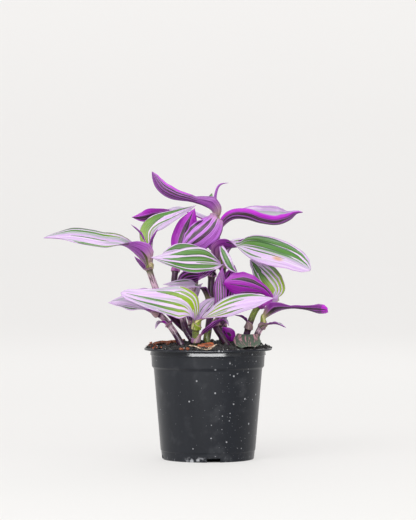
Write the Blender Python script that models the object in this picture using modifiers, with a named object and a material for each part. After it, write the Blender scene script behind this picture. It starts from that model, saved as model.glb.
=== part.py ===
"""Potted tradescantia in a round nursery pot.

Frame: origin at the middle of the pot's underside, +Z up, the front of the
plant towards -Y.  The tables below are in millimetres and degrees; everything
is scaled to metres when the meshes are made.
"""
import math

import bmesh
import bpy
import numpy as np

MM = 0.001

# ---------------------------------------------------------------- pot, mm
RIM_RADIUS = 52.7
POT_HEIGHT = 92.0
FLANGE_UNDERSIDE = 90.0
COLLAR_RADIUS = 47.4
COLLAR_BOTTOM = 75.2
BODY_TOP_RADIUS = 44.8
BODY_FOOT_RADIUS = 39.2
FOOT_RADIUS = 38.0
WALL = 1.2
FLOOR_TOP = 4.2
FLOOR_UNDERSIDE = 2.6
PAD_RADIUS = 21.4
POT_STEPS = 60
DRAIN_COUNT = 8
NOTCH_WIDTH = 11.0
NOTCH_HEIGHT = 4.0
NOTCH_FIRST_DEG = -83.0
DRAIN_RADIUS = 3.2
DRAIN_RING = 29.5

# ---------------------------------------------------------------- potting mix, mm
GAP = 0.5
MIX_EDGE_RADIUS = 45.6
MIX_EDGE_HEIGHT = 90.6
MIX_CROWN = 5.6
MIX_STEPS = 40

# ---------------------------------------------------------------- leaves and stems, mm
LEAF_THICKNESS = 0.8
LEAF_FOLD = 0.12
STEM_SIDES = 8

# Stems: middle line points, radius at the foot, radius at the tip.
STEMS = {
    "stem_main": ([(-2, 8), (2, 8, 120), (3, 6, 150), (6, 3, 176), (6, 2, 197)], 3.1, 2.6),
    "stem_left": ([(-8, 6), (-15, 4, 103), (-27, -1, 115), (-38, -8, 129), (-44, -12, 144),
                   (-48.5, -14, 158), (-50, -14, 171)], 3.0, 2.5),
    "stem_front": ([(-9, -24), (-10, -29, 103), (-9, -31.5, 114)], 3.0, 2.7),
    "stem_rear_left": ([(-9, -13), (-13, -12, 99), (-18, -9, 107), (-22, -2, 121), (-28, 6, 142),
                        (-27, 10, 156), (-25, 12, 167)], 2.9, 2.5),
    "stem_low_left": ([(-20, -19), (-26, -18, 103), (-34, -17, 114), (-39, -19, 119),
                       (-45, -22, 121.5)], 2.8, 2.3),
    "stem_right_upper": ([(29, 0), (35, -4, 113), (40, -6, 124), (47, -9, 131),
                          (51.5, -10, 139)], 2.9, 2.3),
    "stem_right_lower": ([(36, -6), (42, -8, 106), (46, -9, 112), (47.5, -9.5, 115)], 2.8, 2.4),
    "stem_middle": ([(1, -14), (-1, -15, 101), (1, -12, 109)], 2.6, 2.3),
    "stem_lean": ([(18, -16), (11, -18, 102), (6, -21, 111), (8, -23, 117)], 2.8, 2.4),
    "stem_back": ([(-12, 18), (-13, 28, 120), (-12, 34, 150), (-10, 36, 178)], 3.0, 2.5),
    "stem_back_right": ([(12, 20), (12, 27, 115), (13, 32, 145), (11, 34, 173)], 3.0, 2.5),
}

# Leaves: rib points (x, y, z, roll), full width, cup half-angle at base and tip, then the
# heading of the upper side, the width at the base and the place of the full width.
LEAVES = {
    "leaf_a1": dict(rib=[(5.5, 1, 199.5, -15), (3.5, 0, 205, -10), (-3, -2, 209.5, -20),
                         (-14, -5, 213.5, -40), (-28, -8, 217, -48), (-39, -10, 223.5, -48),
                         (-46, -11, 237, -40)],
                    width=21, cup=(95, 45),
                    shape=[(0, 0.4), (0.08, 0.85), (0.16, 1.1), (0.24, 0.75), (0.34, 0.42),
                           (0.48, 0.52), (0.68, 0.66), (0.84, 0.55), (0.94, 0.32), (1, 0.03)]),
    "leaf_a2": dict(rib=[(10.7, 1, 189, 0), (14, -0.5, 193.5, 5), (21, -4, 198, 5),
                         (31, -6.5, 198, -6), (44, -8, 195, -20), (58, -9.5, 194, -26),
                         (68, -10, 198, -24), (73, -10, 202.5, -18), (78, -10, 203.5, -14)],
                    width=31, cup=(70, 95), fold=0.15,
                    shape=[(0, 0.2), (0.12, 0.3), (0.25, 0.6), (0.4, 0.9), (0.58, 1),
                           (0.76, 0.92), (0.86, 0.6), (0.93, 0.22), (1, 0.03)]),
    "leaf_a3": dict(rib=[(7.5, 1.5, 206, 0), (7, 1, 218, 0), (10, 1, 226, 0), (17, 0, 228, 0)],
                    width=6, cup=(60, 50), base=0.6),
    "leaf_a4": dict(rib=[(0.8, -1.6, 211, 0), (1.8, -1.6, 215, 0), (3.4, -1.6, 219.7, 0)],
                    width=4.4, cup=(40, 30), base=0.8, head=90),
    "leaf_a5": dict(rib=[(-25.5, 6.9, 161, 0), (-23, 7.3, 173, 0), (-19, 7, 186, 0),
                         (-15, 5, 197, 0), (-11, 3, 207, 0)],
                    width=21, cup=(62, 30), base=0.4, head=-90, peak=0.5),
    "leaf_a6": dict(rib=[(6.5, -7.5, 199, 0), (1, -8, 190, 0), (-9, -7, 181.5, 0),
                         (-20, -5, 174, 0)],
                    width=24, cup=(50, 20), head=90,
                    shape=[(0, 0.4), (0.15, 0.75), (0.35, 1), (0.6, 1), (0.8, 0.8), (1, 0.3)]),
    "leaf_a8": dict(rib=[(9.8, 2, 167, 0), (12.5, 0, 171.5, 5), (17.5, -3, 174, 8),
                         (23, -5.5, 175, 4), (29, -8, 175.5, -20), (38, -11, 174, -42),
                         (52, -14, 170.5, -46), (70, -17, 164.5, -44), (84, -18, 156, -40)],
                    width=30, cup=(95, 6), fold=0.05,
                    shape=[(0, 0.5), (0.06, 0.9), (0.14, 0.95), (0.24, 0.86), (0.34, 0.95),
                           (0.5, 1), (0.7, 0.95), (0.85, 0.78), (0.94, 0.5), (1, 0.08)]),
    "leaf_b1": dict(rib=[(-53.8, -17, 160, 0), (-58.5, -18.5, 167.5, -4), (-64.5, -19.5, 173, -2),
                         (-71, -20, 177, 18), (-85, -21.5, 178, 30), (-110, -25, 182.5, 30),
                         (-134, -28, 182.5, 10)],
                    width=27, cup=(64, 15),
                    shape=[(0, 0.2), (0.06, 0.35), (0.13, 0.7), (0.2, 0.9), (0.28, 0.78),
                           (0.42, 0.96), (0.55, 1), (0.75, 0.82), (0.9, 0.5), (0.96, 0.3),
                           (1, 0.03)]),
    "leaf_b2": dict(rib=[(-45.8, -10, 165, 0), (-47.4, -7, 176, -10), (-47.5, -4, 187, -30),
                         (-43, -1, 192.5, -38), (-29, 5, 199.5, -38), (-10, 11, 209.6, -30)],
                    width=18, cup=(55, 30), base=0.38),
    "leaf_b3": dict(rib=[(-52, -22, 180, 0), (-56, -22, 187, 0), (-63, -23, 193.5, 0)],
                    width=6, cup=(50, 30), base=0.5),
    "leaf_b4": dict(rib=[(-48, -16.5, 174, 0), (-45, -18, 182, 0), (-41, -18, 190, 0)],
                    width=6, cup=(50, 30), base=0.6),
    "leaf_b5": dict(rib=[(3, 8, 188, 0), (1, 11, 195, 10), (-7, 18, 199.5, 10),
                         (-19, 27, 204.5, 10), (-31, 31, 205.5, 8), (-43, 33, 203, -15),
                         (-54, 33, 200, -60), (-64, 32, 200, -70)],
                    width=15, cup=(60, 15), base=0.4, peak=0.75),
    "leaf_b6": dict(rib=[(-52.5, -21.5, 157, 0), (-56, -25.5, 162, 0), (-60, -28, 167.5, 0)],
                    width=7, cup=(50, 30), base=0.6),
    "leaf_c1": dict(rib=[(-12.3, -33, 115, 20), (-13.5, -35.5, 121, 40), (-18, -37.5, 126.5, 55),
                         (-26, -39.5, 129, 62), (-39, -43, 131, 62), (-55, -46, 134, 62),
                         (-70.5, -47, 138, 60)],
                    width=31, cup=(50, 12),
                    shape=[(0, 0.25), (0.08, 0.6), (0.18, 0.92), (0.3, 1), (0.45, 0.84),
                           (0.6, 0.64), (0.8, 0.46), (0.92, 0.32), (0.98, 0.16), (1, 0.04)]),
    "leaf_c2": dict(rib=[(-4.5, -33.5, 116, -10), (6, -38, 121, -45), (22, -43, 127, -48),
                         (39, -47, 131, -48), (53, -49, 134, -48)],
                    width=22, cup=(50, 12), base=0.3, peak=0.5),
    "leaf_c3": dict(rib=[(-6, -26, 118, 0), (0, -17, 127, 0), (8, -10, 134, 0)],
                    width=17, cup=(50, 20), base=0.4),
    "leaf_c4": dict(rib=[(-5, -30, 103.5, 0), (4, -34.5, 110, 0), (13, -38, 116, 0),
                         (17, -40, 111, 0)],
                    width=13, cup=(50, 20), base=0.3),
    "leaf_c5": dict(rib=[(-34.5, -22.5, 112.5, 0), (-39, -24, 113.5, 0), (-43, -26, 108.5, 0)],
                    width=8, cup=(40, 20), base=0.5),
    "leaf_e1": dict(rib=[(-47.5, -26, 122, 0), (-60, -31, 127.5, 35), (-81, -36, 130, 40)],
                    width=20, cup=(50, 15), base=0.3),
    "leaf_e2": dict(rib=[(-47.5, -17, 125, 0), (-54, -11, 136, 20), (-68, -5, 136, 20)],
                    width=16, cup=(50, 15), base=0.3),
    "leaf_f1": dict(rib=[(10, -8, 161, 40), (-2, -19, 163, 55), (-22, -27, 163.5, 60),
                         (-40, -31, 165.5, 50), (-47, -32, 167, 40)],
                    width=25, cup=(40, 12), base=0.2, peak=0.35),
    "leaf_f2": dict(rib=[(3.5, -3, 168.5, 40), (-5, -6, 170.5, 60), (-20, -11.5, 172, 60),
                         (-32, -15.5, 171, 55), (-38, -17, 169, 40)],
                    width=13, cup=(40, 12), base=0.2, peak=0.6),
    "leaf_f3": dict(rib=[(3, -2, 156, 0), (-1, -9, 156, 0), (-8, -13, 148, 0)],
                    width=9, cup=(50, 20), base=0.4, head=90),
    "leaf_g1": dict(rib=[(10.5, -10.8, 175.5, -80), (14, -13.2, 167, -80), (19, -12.5, 158, -80),
                         (25, -9, 153, -30)],
                    width=8, cup=(60, 30), base=0.5),
    "leaf_g2": dict(rib=[(9, -27, 119, 0), (10, -27, 134, 0), (10, -25, 147, 0),
                         (12, -22, 159, 0)],
                    width=11, cup=(60, 30), base=0.45, head=-90, peak=0.5),
    "leaf_g4": dict(rib=[(16, 24.2, 126, 0), (17.5, 16, 141, 0), (20, 9, 152, 0),
                         (22, 5, 160, 0)],
                    width=14, cup=(60, 30), base=0.4, head=-90, peak=0.6),
    "leaf_h1": dict(rib=[(-2.1, 5.5, 134, 0), (-5, 2, 140, 0), (-12, -8, 143.5, 30),
                         (-25, -13, 144, 50), (-37, -15, 144.5, 30)],
                    width=12, cup=(50, 20), base=0.7, peak=0.5),
    "leaf_k2": dict(rib=[(-23.6, 5.5, 142, 0), (-19, 4.5, 148, 40), (-11, 4, 150, 60),
                         (-3, 3, 151, 60)],
                    width=15, cup=(60, 30), base=0.3, peak=0.5),
    "leaf_d1": dict(rib=[(54.2, -3.6, 135, 0), (54.8, -3.8, 140, 0), (49.7, -3.5, 147.5, 0),
                         (42.8, -1, 156, 0), (35, 2, 164.5, 0)],
                    width=22, cup=(35, 30), head=100,
                    shape=[(0, 0.4), (0.12, 0.8), (0.28, 1), (0.5, 0.98), (0.7, 0.78),
                           (0.88, 0.45), (1, 0.05)]),
    "leaf_d2": dict(rib=[(46, -14.4, 129, 0), (50, -17, 134, -40), (45, -20.5, 139.5, -60),
                         (35, -24.5, 143, -70), (24, -28, 145, -75), (13, -30, 146, -70)],
                    width=21, cup=(55, 20),
                    shape=[(0, 0.3), (0.2, 0.32), (0.36, 0.5), (0.52, 0.84), (0.7, 1),
                           (0.88, 0.74), (1, 0.14)]),
    "leaf_d3": dict(rib=[(47.9, -10.5, 117, 0), (54, -11.5, 120.5, 0), (61, -12.5, 123.5, 4),
                         (69, -13.5, 124.8, 8), (80, -15, 124, 20), (90, -16, 122.5, 36),
                         (98.3, -17, 122.5, 38)],
                    width=25, cup=(95, 30),
                    shape=[(0, 0.45), (0.1, 0.95), (0.2, 1.2), (0.29, 0.9), (0.42, 0.36),
                           (0.6, 0.36), (0.85, 0.56), (0.95, 0.5), (1, 0.25)]),
    "leaf_d4": dict(rib=[(50, -15.5, 111.5, 0), (56, -17.5, 112, 0), (64, -19, 109, 0)],
                    width=10, cup=(50, 20), base=0.4),
    "leaf_d5": dict(rib=[(31.4, -7, 114, 0), (27.5, -9, 117.5, 0), (22, -10, 119, 0)],
                    width=8, cup=(50, 20), base=0.4),
    "leaf_m1": dict(rib=[(20, 2, 97, 0), (17, 0, 103, 0), (12, -2, 109, 0)],
                    width=11, cup=(60, 20), base=0.4, head=-90),
    "leaf_o1": dict(rib=[(30, -13, 101, 0), (32, -19, 103, 0), (32, -29, 99, 0),
                         (33, -38, 94.5, 0)],
                    width=24, cup=(30, -35), head=-90,
                    shape=[(0, 0.3), (0.2, 0.75), (0.5, 1), (0.8, 0.9), (1, 0.5)]),
    "leaf_n1": dict(rib=[(-12.3, 38, 147, 0), (-13, 42, 157, 0), (-14, 58, 165, 0),
                         (-16, 80, 162, 0), (-18, 96, 148, 0)],
                    width=28, cup=(65, 15), base=0.3, peak=0.5),
    "leaf_n2": dict(rib=[(-9.7, 40, 169, 0), (-8.5, 44, 179, 0), (-6, 58, 186, 0),
                         (-2, 78, 184, 0), (2, 92, 172, 0)],
                    width=27, cup=(65, 15), base=0.3, peak=0.5),
    "leaf_n3": dict(rib=[(-16.4, 30.5, 113, 0), (-20.5, 34, 122, 0), (-33, 41, 130, 0),
                         (-50, 54, 132, 0), (-66, 66, 127, 0)],
                    width=27, cup=(65, 15), base=0.3, peak=0.5),
    "leaf_n4": dict(rib=[(-13, 35, 128, 0), (-14, 40, 136, 0), (-15, 52, 141, 0),
                         (-16, 68, 139, 0), (-17, 82, 129, 0)],
                    width=22, cup=(65, 15), base=0.36, peak=0.5),
    "leaf_p1": dict(rib=[(15.8, 34, 129, 0), (20, 38, 137, 0), (30, 47, 141.5, 0),
                         (44, 60, 141, 0), (56, 70, 134, 0)],
                    width=26, cup=(65, 15), base=0.3, peak=0.5),
    "leaf_p2": dict(rib=[(15.4, 35.9, 163, 0), (18.4, 38.7, 173, 0), (31, 45, 178.5, 0),
                         (52, 54, 174, 0), (68, 60, 164, 0)],
                    width=26, cup=(65, 15), base=0.3, peak=0.5),
    "leaf_p3": dict(rib=[(12, 32.6, 113, 0), (11.5, 37.5, 122, 0), (10, 54, 128, 0),
                         (10, 72, 126, 0), (11, 84, 117, 0)],
                    width=22, cup=(65, 15), base=0.36, peak=0.5),
}

# Bark chips: middle (x, y), size (long, wide, thick), heading and tilt.
CHIPS = {
    "bark_chip_a": ((-36, 14), (17, 8, 2.0), 24, -9),
    "bark_chip_b": ((-27, 27), (14, 7, 2.0), -20, -6),
    "bark_chip_c": ((-2, -38), (12, 6, 1.8), 12, 4),
}

COLOURS = {
    "pot": (0.030, 0.031, 0.034),
    "mix": (0.018, 0.016, 0.015),
    "stem": (0.16, 0.07, 0.14),
    "leaf": (0.42, 0.22, 0.48),
    "bark": (0.25, 0.11, 0.05),
}


# ---------------------------------------------------------------- scene helpers
def clear_scene():
    """Remove every object already in the file."""
    for item in list(bpy.data.objects):
        bpy.data.objects.remove(item, do_unlink=True)


def make_collection(name):
    """Add a collection to the scene."""
    group = bpy.data.collections.new(name)
    bpy.context.scene.collection.children.link(group)
    return group


def make_material(name, colour, roughness):
    """Make one plain Principled material."""
    material = bpy.data.materials.new(name)
    material.use_nodes = True
    shader = material.node_tree.nodes["Principled BSDF"]
    shader.inputs["Base Color"].default_value = (*colour, 1.0)
    shader.inputs["Roughness"].default_value = roughness
    material.diffuse_color = (*colour, 1.0)
    return material


def baked_mesh(item):
    """Return the object's mesh with its modifiers, welded and facing out."""
    bpy.context.view_layer.update()
    graph = bpy.context.evaluated_depsgraph_get()
    mesh = bpy.data.meshes.new_from_object(item.evaluated_get(graph))
    shell = bmesh.new()
    shell.from_mesh(mesh)
    bmesh.ops.remove_doubles(shell, verts=shell.verts, dist=0.000002)
    bmesh.ops.recalc_face_normals(shell, faces=shell.faces)
    shell.to_mesh(mesh)
    shell.free()
    return mesh


def add_part(group, name, mesh, kind, roughness, smooth=True):
    """Link a finished mesh as a named part with its own material."""
    item = bpy.data.objects.new(name, mesh)
    mesh.name = name
    mesh.materials.clear()
    mesh.materials.append(make_material("mat_" + name, COLOURS[kind], roughness))
    if smooth:
        mesh.shade_smooth()
    group.objects.link(item)
    return item


def revolved_mesh(profile, steps):
    """Turn a profile of (radius, height) points about the Z axis."""
    line = bpy.data.meshes.new("profile")
    points = [(radius * MM, 0.0, height * MM) for radius, height in profile]
    line.from_pydata(points, [(i, i + 1) for i in range(len(points) - 1)], [])
    item = bpy.data.objects.new("profile", line)
    bpy.context.scene.collection.objects.link(item)
    turn = item.modifiers.new("turn", "SCREW")
    turn.axis = "Z"
    turn.steps = steps
    turn.render_steps = steps
    turn.use_merge_vertices = True
    turn.merge_threshold = 0.00001
    mesh = baked_mesh(item)
    bpy.data.objects.remove(item, do_unlink=True)
    return mesh


# ---------------------------------------------------------------- curves and leaves
def even_spline(points, count):
    """Smooth curve through the points, sampled at even steps of its length."""
    points = np.array(points, float)
    chords = np.linalg.norm(np.diff(points[:, :3], axis=0), axis=1)
    knots = np.concatenate([[0.0], np.cumsum(chords ** 0.5)])
    slopes = np.diff(points, axis=0) / np.diff(knots)[:, None]
    tangents = np.zeros_like(points)
    for i in range(1, len(points) - 1):
        before = knots[i] - knots[i - 1]
        after = knots[i + 1] - knots[i]
        tangents[i] = (slopes[i - 1] * after + slopes[i] * before) / (before + after)
    tangents[0] = 1.5 * slopes[0] - 0.5 * tangents[1]
    tangents[-1] = 1.5 * slopes[-1] - 0.5 * tangents[-2]
    samples = []
    for i in range(len(points) - 1):
        step = knots[i + 1] - knots[i]
        for s in np.linspace(0.0, 1.0, 40, endpoint=(i == len(points) - 2)):
            samples.append((2 * s ** 3 - 3 * s ** 2 + 1) * points[i]
                           + (s ** 3 - 2 * s ** 2 + s) * step * tangents[i]
                           + (-2 * s ** 3 + 3 * s ** 2) * points[i + 1]
                           + (s ** 3 - s ** 2) * step * tangents[i + 1])
    samples = np.array(samples)
    steps = np.linalg.norm(np.diff(samples[:, :3], axis=0), axis=1)
    travelled = np.concatenate([[0.0], np.cumsum(steps)])
    wanted = np.linspace(0.0, travelled[-1], count + 1)
    columns = [np.interp(wanted, travelled, samples[:, k]) for k in range(samples.shape[1])]
    return np.stack(columns, axis=1)


def half_width(t, row):
    """Share of the full half-width at place t along the leaf."""
    if "shape" in row:
        places, shares = zip(*row["shape"])
        return float(np.interp(t, places, shares))
    base, peak = row.get("base", 0.4), row.get("peak", 0.4)
    if t < peak:
        return base + (1.0 - base) * math.sin(math.pi / 2.0 * t / peak)
    u = (t - peak) / (1.0 - peak)
    return max((1.0 - u * u) * (1.0 - 0.25 * u * u), 0.02)


def leaf_points(row, along, across):
    """Grid of points on the middle surface of a leaf, in mm."""
    rib = even_spline(row["rib"], along)
    path = rib[:, :3]
    tangent = np.gradient(path, axis=0)
    tangent /= np.linalg.norm(tangent, axis=1)[:, None]
    if "head" in row:
        angle = math.radians(row["head"])
        heading = np.array([math.cos(angle), math.sin(angle), 0.0])
    else:
        heading = path[-1] - path[0]
        heading[2] = 0.0
        heading /= np.linalg.norm(heading)
    side = np.cross(heading, [0.0, 0.0, 1.0])
    grid = np.zeros((along + 1, across + 1, 3))
    for i in range(along + 1):
        t = i / along
        flat = side - tangent[i] * side.dot(tangent[i])
        flat /= np.linalg.norm(flat)
        up = np.cross(flat, tangent[i])
        roll = math.radians(rib[i, 3])
        turned = flat * math.cos(roll) + up * math.sin(roll)
        normal = up * math.cos(roll) - flat * math.sin(roll)
        half = row["width"] / 2.0 * half_width(t, row)
        start, end = row["cup"]
        cup = math.radians(start + (end - start) * min(1.0, t / 0.45) ** 0.7)
        cup = cup if abs(cup) > 0.02 else 0.02
        for j in range(across + 1):
            v = 2.0 * j / across - 1.0
            sideways = math.sin(cup * v) / cup
            lift = (1.0 - math.cos(cup * v)) / cup + row.get("fold", LEAF_FOLD) * abs(v)
            grid[i, j] = path[i] + half * (sideways * turned + lift * normal)
    return grid


def leaf_mesh(row):
    """Closed leaf solid: a shaped grid with thickness."""
    length = np.linalg.norm(np.diff(np.array(row["rib"])[:, :3], axis=0), axis=1).sum()
    along, across = (8, 4) if length > 25.0 else (5, 4)
    if row["width"] < 12:
        across = 2
    points = leaf_points(row, along, across) * MM
    sheet = bmesh.new()
    bmesh.ops.create_grid(sheet, x_segments=along, y_segments=across, size=0.5)
    for vert in sheet.verts:
        i = int(round((vert.co.x + 0.5) * along))
        j = int(round((vert.co.y + 0.5) * across))
        vert.co = points[i, j]
    mesh = bpy.data.meshes.new("sheet")
    sheet.to_mesh(mesh)
    sheet.free()
    item = bpy.data.objects.new("sheet", mesh)
    bpy.context.scene.collection.objects.link(item)
    thicken = item.modifiers.new("thicken", "SOLIDIFY")
    thicken.thickness = LEAF_THICKNESS * MM
    thicken.offset = 0.0
    solid = baked_mesh(item)
    bpy.data.objects.remove(item, do_unlink=True)
    return solid


def mix_height(x, y):
    """Height of the potting mix surface above the pot's underside, in mm."""
    radius = min(math.hypot(x, y) / MIX_EDGE_RADIUS, 1.0)
    dome = MIX_EDGE_HEIGHT + MIX_CROWN * (1.0 - radius * radius)
    lumps = 0.45 * math.sin(0.31 * x + 1.0) * math.sin(0.27 * y + 0.4)
    return dome + lumps * (1.0 - radius ** 4)


def stem_mesh(points, foot, tip):
    """Tapered round stem standing just clear of the potting mix."""
    x, y = points[0]
    start = np.array([x, y, mix_height(x, y)])
    lean = np.array(points[1]) - start
    tilt = math.hypot(lean[0], lean[1]) / np.linalg.norm(lean)
    start[2] += GAP + 0.4 + foot * tilt * 1.2
    path = [tuple(start)] + list(points[1:])
    count = 5 if len(path) < 4 else 9
    line = even_spline(path, count)
    curve = bpy.data.curves.new("stem", "CURVE")
    curve.dimensions = "3D"
    curve.bevel_depth = MM
    curve.bevel_resolution = (STEM_SIDES - 4) // 2
    curve.use_fill_caps = True
    spline = curve.splines.new("POLY")
    spline.points.add(count)
    for i, point in enumerate(line):
        spline.points[i].co = (*(point * MM), 1.0)
        spline.points[i].radius = foot + (tip - foot) * i / count
    item = bpy.data.objects.new("stem", curve)
    bpy.context.scene.collection.objects.link(item)
    mesh = baked_mesh(item)
    bpy.data.objects.remove(item, do_unlink=True)
    return mesh


# ---------------------------------------------------------------- pot, mix and chips
def build_pot(group, cutters):
    """Pot with a flange, a stepped collar, a foot ring, notches and drain holes."""
    inner = COLLAR_RADIUS - WALL
    profile = [
        (0.0, FLOOR_TOP), (36.2, FLOOR_TOP), (37.1, 5.0),
        (BODY_TOP_RADIUS - WALL, 74.8), (45.3, 76.5), (inner, 86.0), (inner, 90.6),
        (46.9, 91.7), (48.0, POT_HEIGHT), (52.0, POT_HEIGHT), (RIM_RADIUS, 91.5),
        (RIM_RADIUS, 90.4), (52.3, FLANGE_UNDERSIDE), (47.5, FLANGE_UNDERSIDE),
        (COLLAR_RADIUS, 89.4), (47.8, 86.4), (47.7, 86.0), (46.9, 85.6), (46.4, 76.6),
        (45.1, COLLAR_BOTTOM), (BODY_TOP_RADIUS, 74.4), (BODY_FOOT_RADIUS, 7.6),
        (38.7, 7.0), (38.6, 6.0), (FOOT_RADIUS, 0.6), (37.5, 0.0), (36.2, 0.0),
        (35.8, FLOOR_UNDERSIDE), (PAD_RADIUS + 0.6, FLOOR_UNDERSIDE), (PAD_RADIUS, 0.0),
        (0.0, 0.0),
    ]
    item = add_part(group, "pot", revolved_mesh(profile, POT_STEPS), "pot", 0.42)
    for k in range(DRAIN_COUNT):
        angle = math.radians(NOTCH_FIRST_DEG + 360.0 * k / DRAIN_COUNT)
        if k % 2 == 0:
            cut_away(item, notch_shape(angle), cutters, "cut_notch_%d" % k)
        hole = bmesh.new()
        bmesh.ops.create_cone(hole, cap_ends=True, segments=16, radius1=DRAIN_RADIUS * MM,
                              radius2=DRAIN_RADIUS * MM, depth=8.0 * MM)
        for vert in hole.verts:
            vert.co.x += DRAIN_RING * math.cos(angle) * MM
            vert.co.y += DRAIN_RING * math.sin(angle) * MM
            vert.co.z += FLOOR_TOP * MM
        cut_away(item, hole, cutters, "cut_drain_%d" % k)
    smooth_by_angle(item, 32.0)


def notch_shape(angle):
    """Block that cuts one notch through the foot ring."""
    box = bmesh.new()
    bmesh.ops.create_cube(box, size=1.0)
    for vert in box.verts:
        along = 37.2 + vert.co.x * 5.0
        wide = vert.co.y * NOTCH_WIDTH
        high = vert.co.z * 2.0 * NOTCH_HEIGHT
        turned_x = along * math.cos(angle) - wide * math.sin(angle)
        turned_y = along * math.sin(angle) + wide * math.cos(angle)
        high = min(high, FLOOR_UNDERSIDE - 0.05 if along < 36.5 else NOTCH_HEIGHT)
        vert.co = (turned_x * MM, turned_y * MM, high * MM)
    return box


def cut_away(item, shape, cutters, name):
    """Subtract a cutter shape from a part."""
    mesh = bpy.data.meshes.new(name)
    shape.to_mesh(mesh)
    shape.free()
    cutter = bpy.data.objects.new(name, mesh)
    cutter.hide_render = True
    cutter.display_type = "WIRE"
    cutters.objects.link(cutter)
    cut = item.modifiers.new(name, "BOOLEAN")
    cut.operation = "DIFFERENCE"
    cut.solver = "EXACT"
    cut.object = cutter


def smooth_by_angle(item, degrees):
    """Shade smooth, keeping edges sharper than the angle."""
    item.data.set_sharp_from_angle(angle=math.radians(degrees))


def build_mix(group):
    """Potting mix filling the pot, mounded in the middle."""
    radii = [0.0, 7.0, 14.0, 21.0, 28.0, 35.0, 41.0, MIX_EDGE_RADIUS]
    profile = [(radius, mix_height(radius, 0.0)) for radius in radii]
    profile += [
        (MIX_EDGE_RADIUS + 0.2, 89.6), (COLLAR_RADIUS - WALL - GAP, 86.0),
        (45.3 - GAP, 76.7), (BODY_TOP_RADIUS - WALL - GAP, 75.0), (37.1 - GAP, 5.3),
        (36.2, FLOOR_TOP + GAP), (0.0, FLOOR_TOP + GAP),
    ]
    mesh = revolved_mesh(profile, MIX_STEPS)
    for vert in mesh.vertices:
        if vert.co.z > 0.0901:
            vert.co.z = mix_height(vert.co.x / MM, vert.co.y / MM) * MM
    item = add_part(group, "potting_mix", mesh, "mix", 0.95)
    smooth_by_angle(item, 40.0)


def build_chip(group, name, place, size, heading, tilt):
    """Curled sliver of bark lying on the potting mix."""
    chip = bmesh.new()
    bmesh.ops.create_grid(chip, x_segments=5, y_segments=2, size=0.5)
    turn = math.radians(heading)
    x0, y0 = place
    for vert in chip.verts:
        u, v = vert.co.x, vert.co.y
        long = u * size[0] * (1.0 - 0.12 * math.cos(6.0 * v))
        wide = v * size[1] * (1.0 - 0.9 * abs(u) ** 1.6)
        x = x0 + long * math.cos(turn) - wide * math.sin(turn)
        y = y0 + long * math.sin(turn) + wide * math.cos(turn)
        rise = 2.4 + 0.8 * math.sin(4.0 * u) * v + math.radians(tilt) * long * 0.5
        vert.co = (x * MM, y * MM, (mix_height(x, y) + size[2] / 2.0 + rise) * MM)
    mesh = bpy.data.meshes.new("chip")
    chip.to_mesh(mesh)
    chip.free()
    item = bpy.data.objects.new("chip", mesh)
    bpy.context.scene.collection.objects.link(item)
    thicken = item.modifiers.new("thicken", "SOLIDIFY")
    thicken.thickness = size[2] * MM
    thicken.offset = 0.0
    solid = baked_mesh(item)
    bpy.data.objects.remove(item, do_unlink=True)
    add_part(group, name, solid, "bark", 0.8, smooth=False)


def main():
    """Build every part of the potted plant."""
    clear_scene()
    group = make_collection("potted_tradescantia")
    cutters = make_collection("cutters")
    build_pot(group, cutters)
    build_mix(group)
    for name, (points, foot, tip) in STEMS.items():
        add_part(group, name, stem_mesh(points, foot, tip), "stem", 0.45)
    for name, row in LEAVES.items():
        add_part(group, name, leaf_mesh(row), "leaf", 0.4)
    for name, (place, size, heading, tilt) in CHIPS.items():
        build_chip(group, name, place, size, heading, tilt)


main()
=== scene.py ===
"""Looks of the potted tradescantia: nursery pot, potting mix, stems and striped leaves.

Sizes are in millimetres and degrees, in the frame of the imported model: the origin under the
middle of the pot, +Z up, the front of the plant towards -Y.
"""
import logging
import math
import random
from dataclasses import dataclass
from enum import Enum
from typing import Iterable, Optional, Sequence, Union

import bmesh
import bpy
import numpy as np
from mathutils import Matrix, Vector


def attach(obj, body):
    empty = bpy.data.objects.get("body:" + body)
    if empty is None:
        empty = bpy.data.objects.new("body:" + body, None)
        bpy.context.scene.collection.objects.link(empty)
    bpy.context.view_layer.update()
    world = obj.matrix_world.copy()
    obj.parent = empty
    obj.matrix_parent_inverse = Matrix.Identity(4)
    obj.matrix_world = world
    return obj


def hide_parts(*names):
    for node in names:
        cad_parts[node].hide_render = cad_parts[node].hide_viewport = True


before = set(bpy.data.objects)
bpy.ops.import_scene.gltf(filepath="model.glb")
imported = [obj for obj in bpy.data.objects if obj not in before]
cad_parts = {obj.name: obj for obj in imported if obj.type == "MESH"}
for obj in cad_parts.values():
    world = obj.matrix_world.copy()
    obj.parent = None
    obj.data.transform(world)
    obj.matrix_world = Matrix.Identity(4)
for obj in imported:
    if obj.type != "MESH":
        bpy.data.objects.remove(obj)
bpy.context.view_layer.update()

MM = 0.001
LOG = logging.getLogger("potted_tradescantia")

Socket = bpy.types.NodeSocket
Value = Union[float, Sequence[float], "Signal"]
Point = tuple[float, ...]


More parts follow.
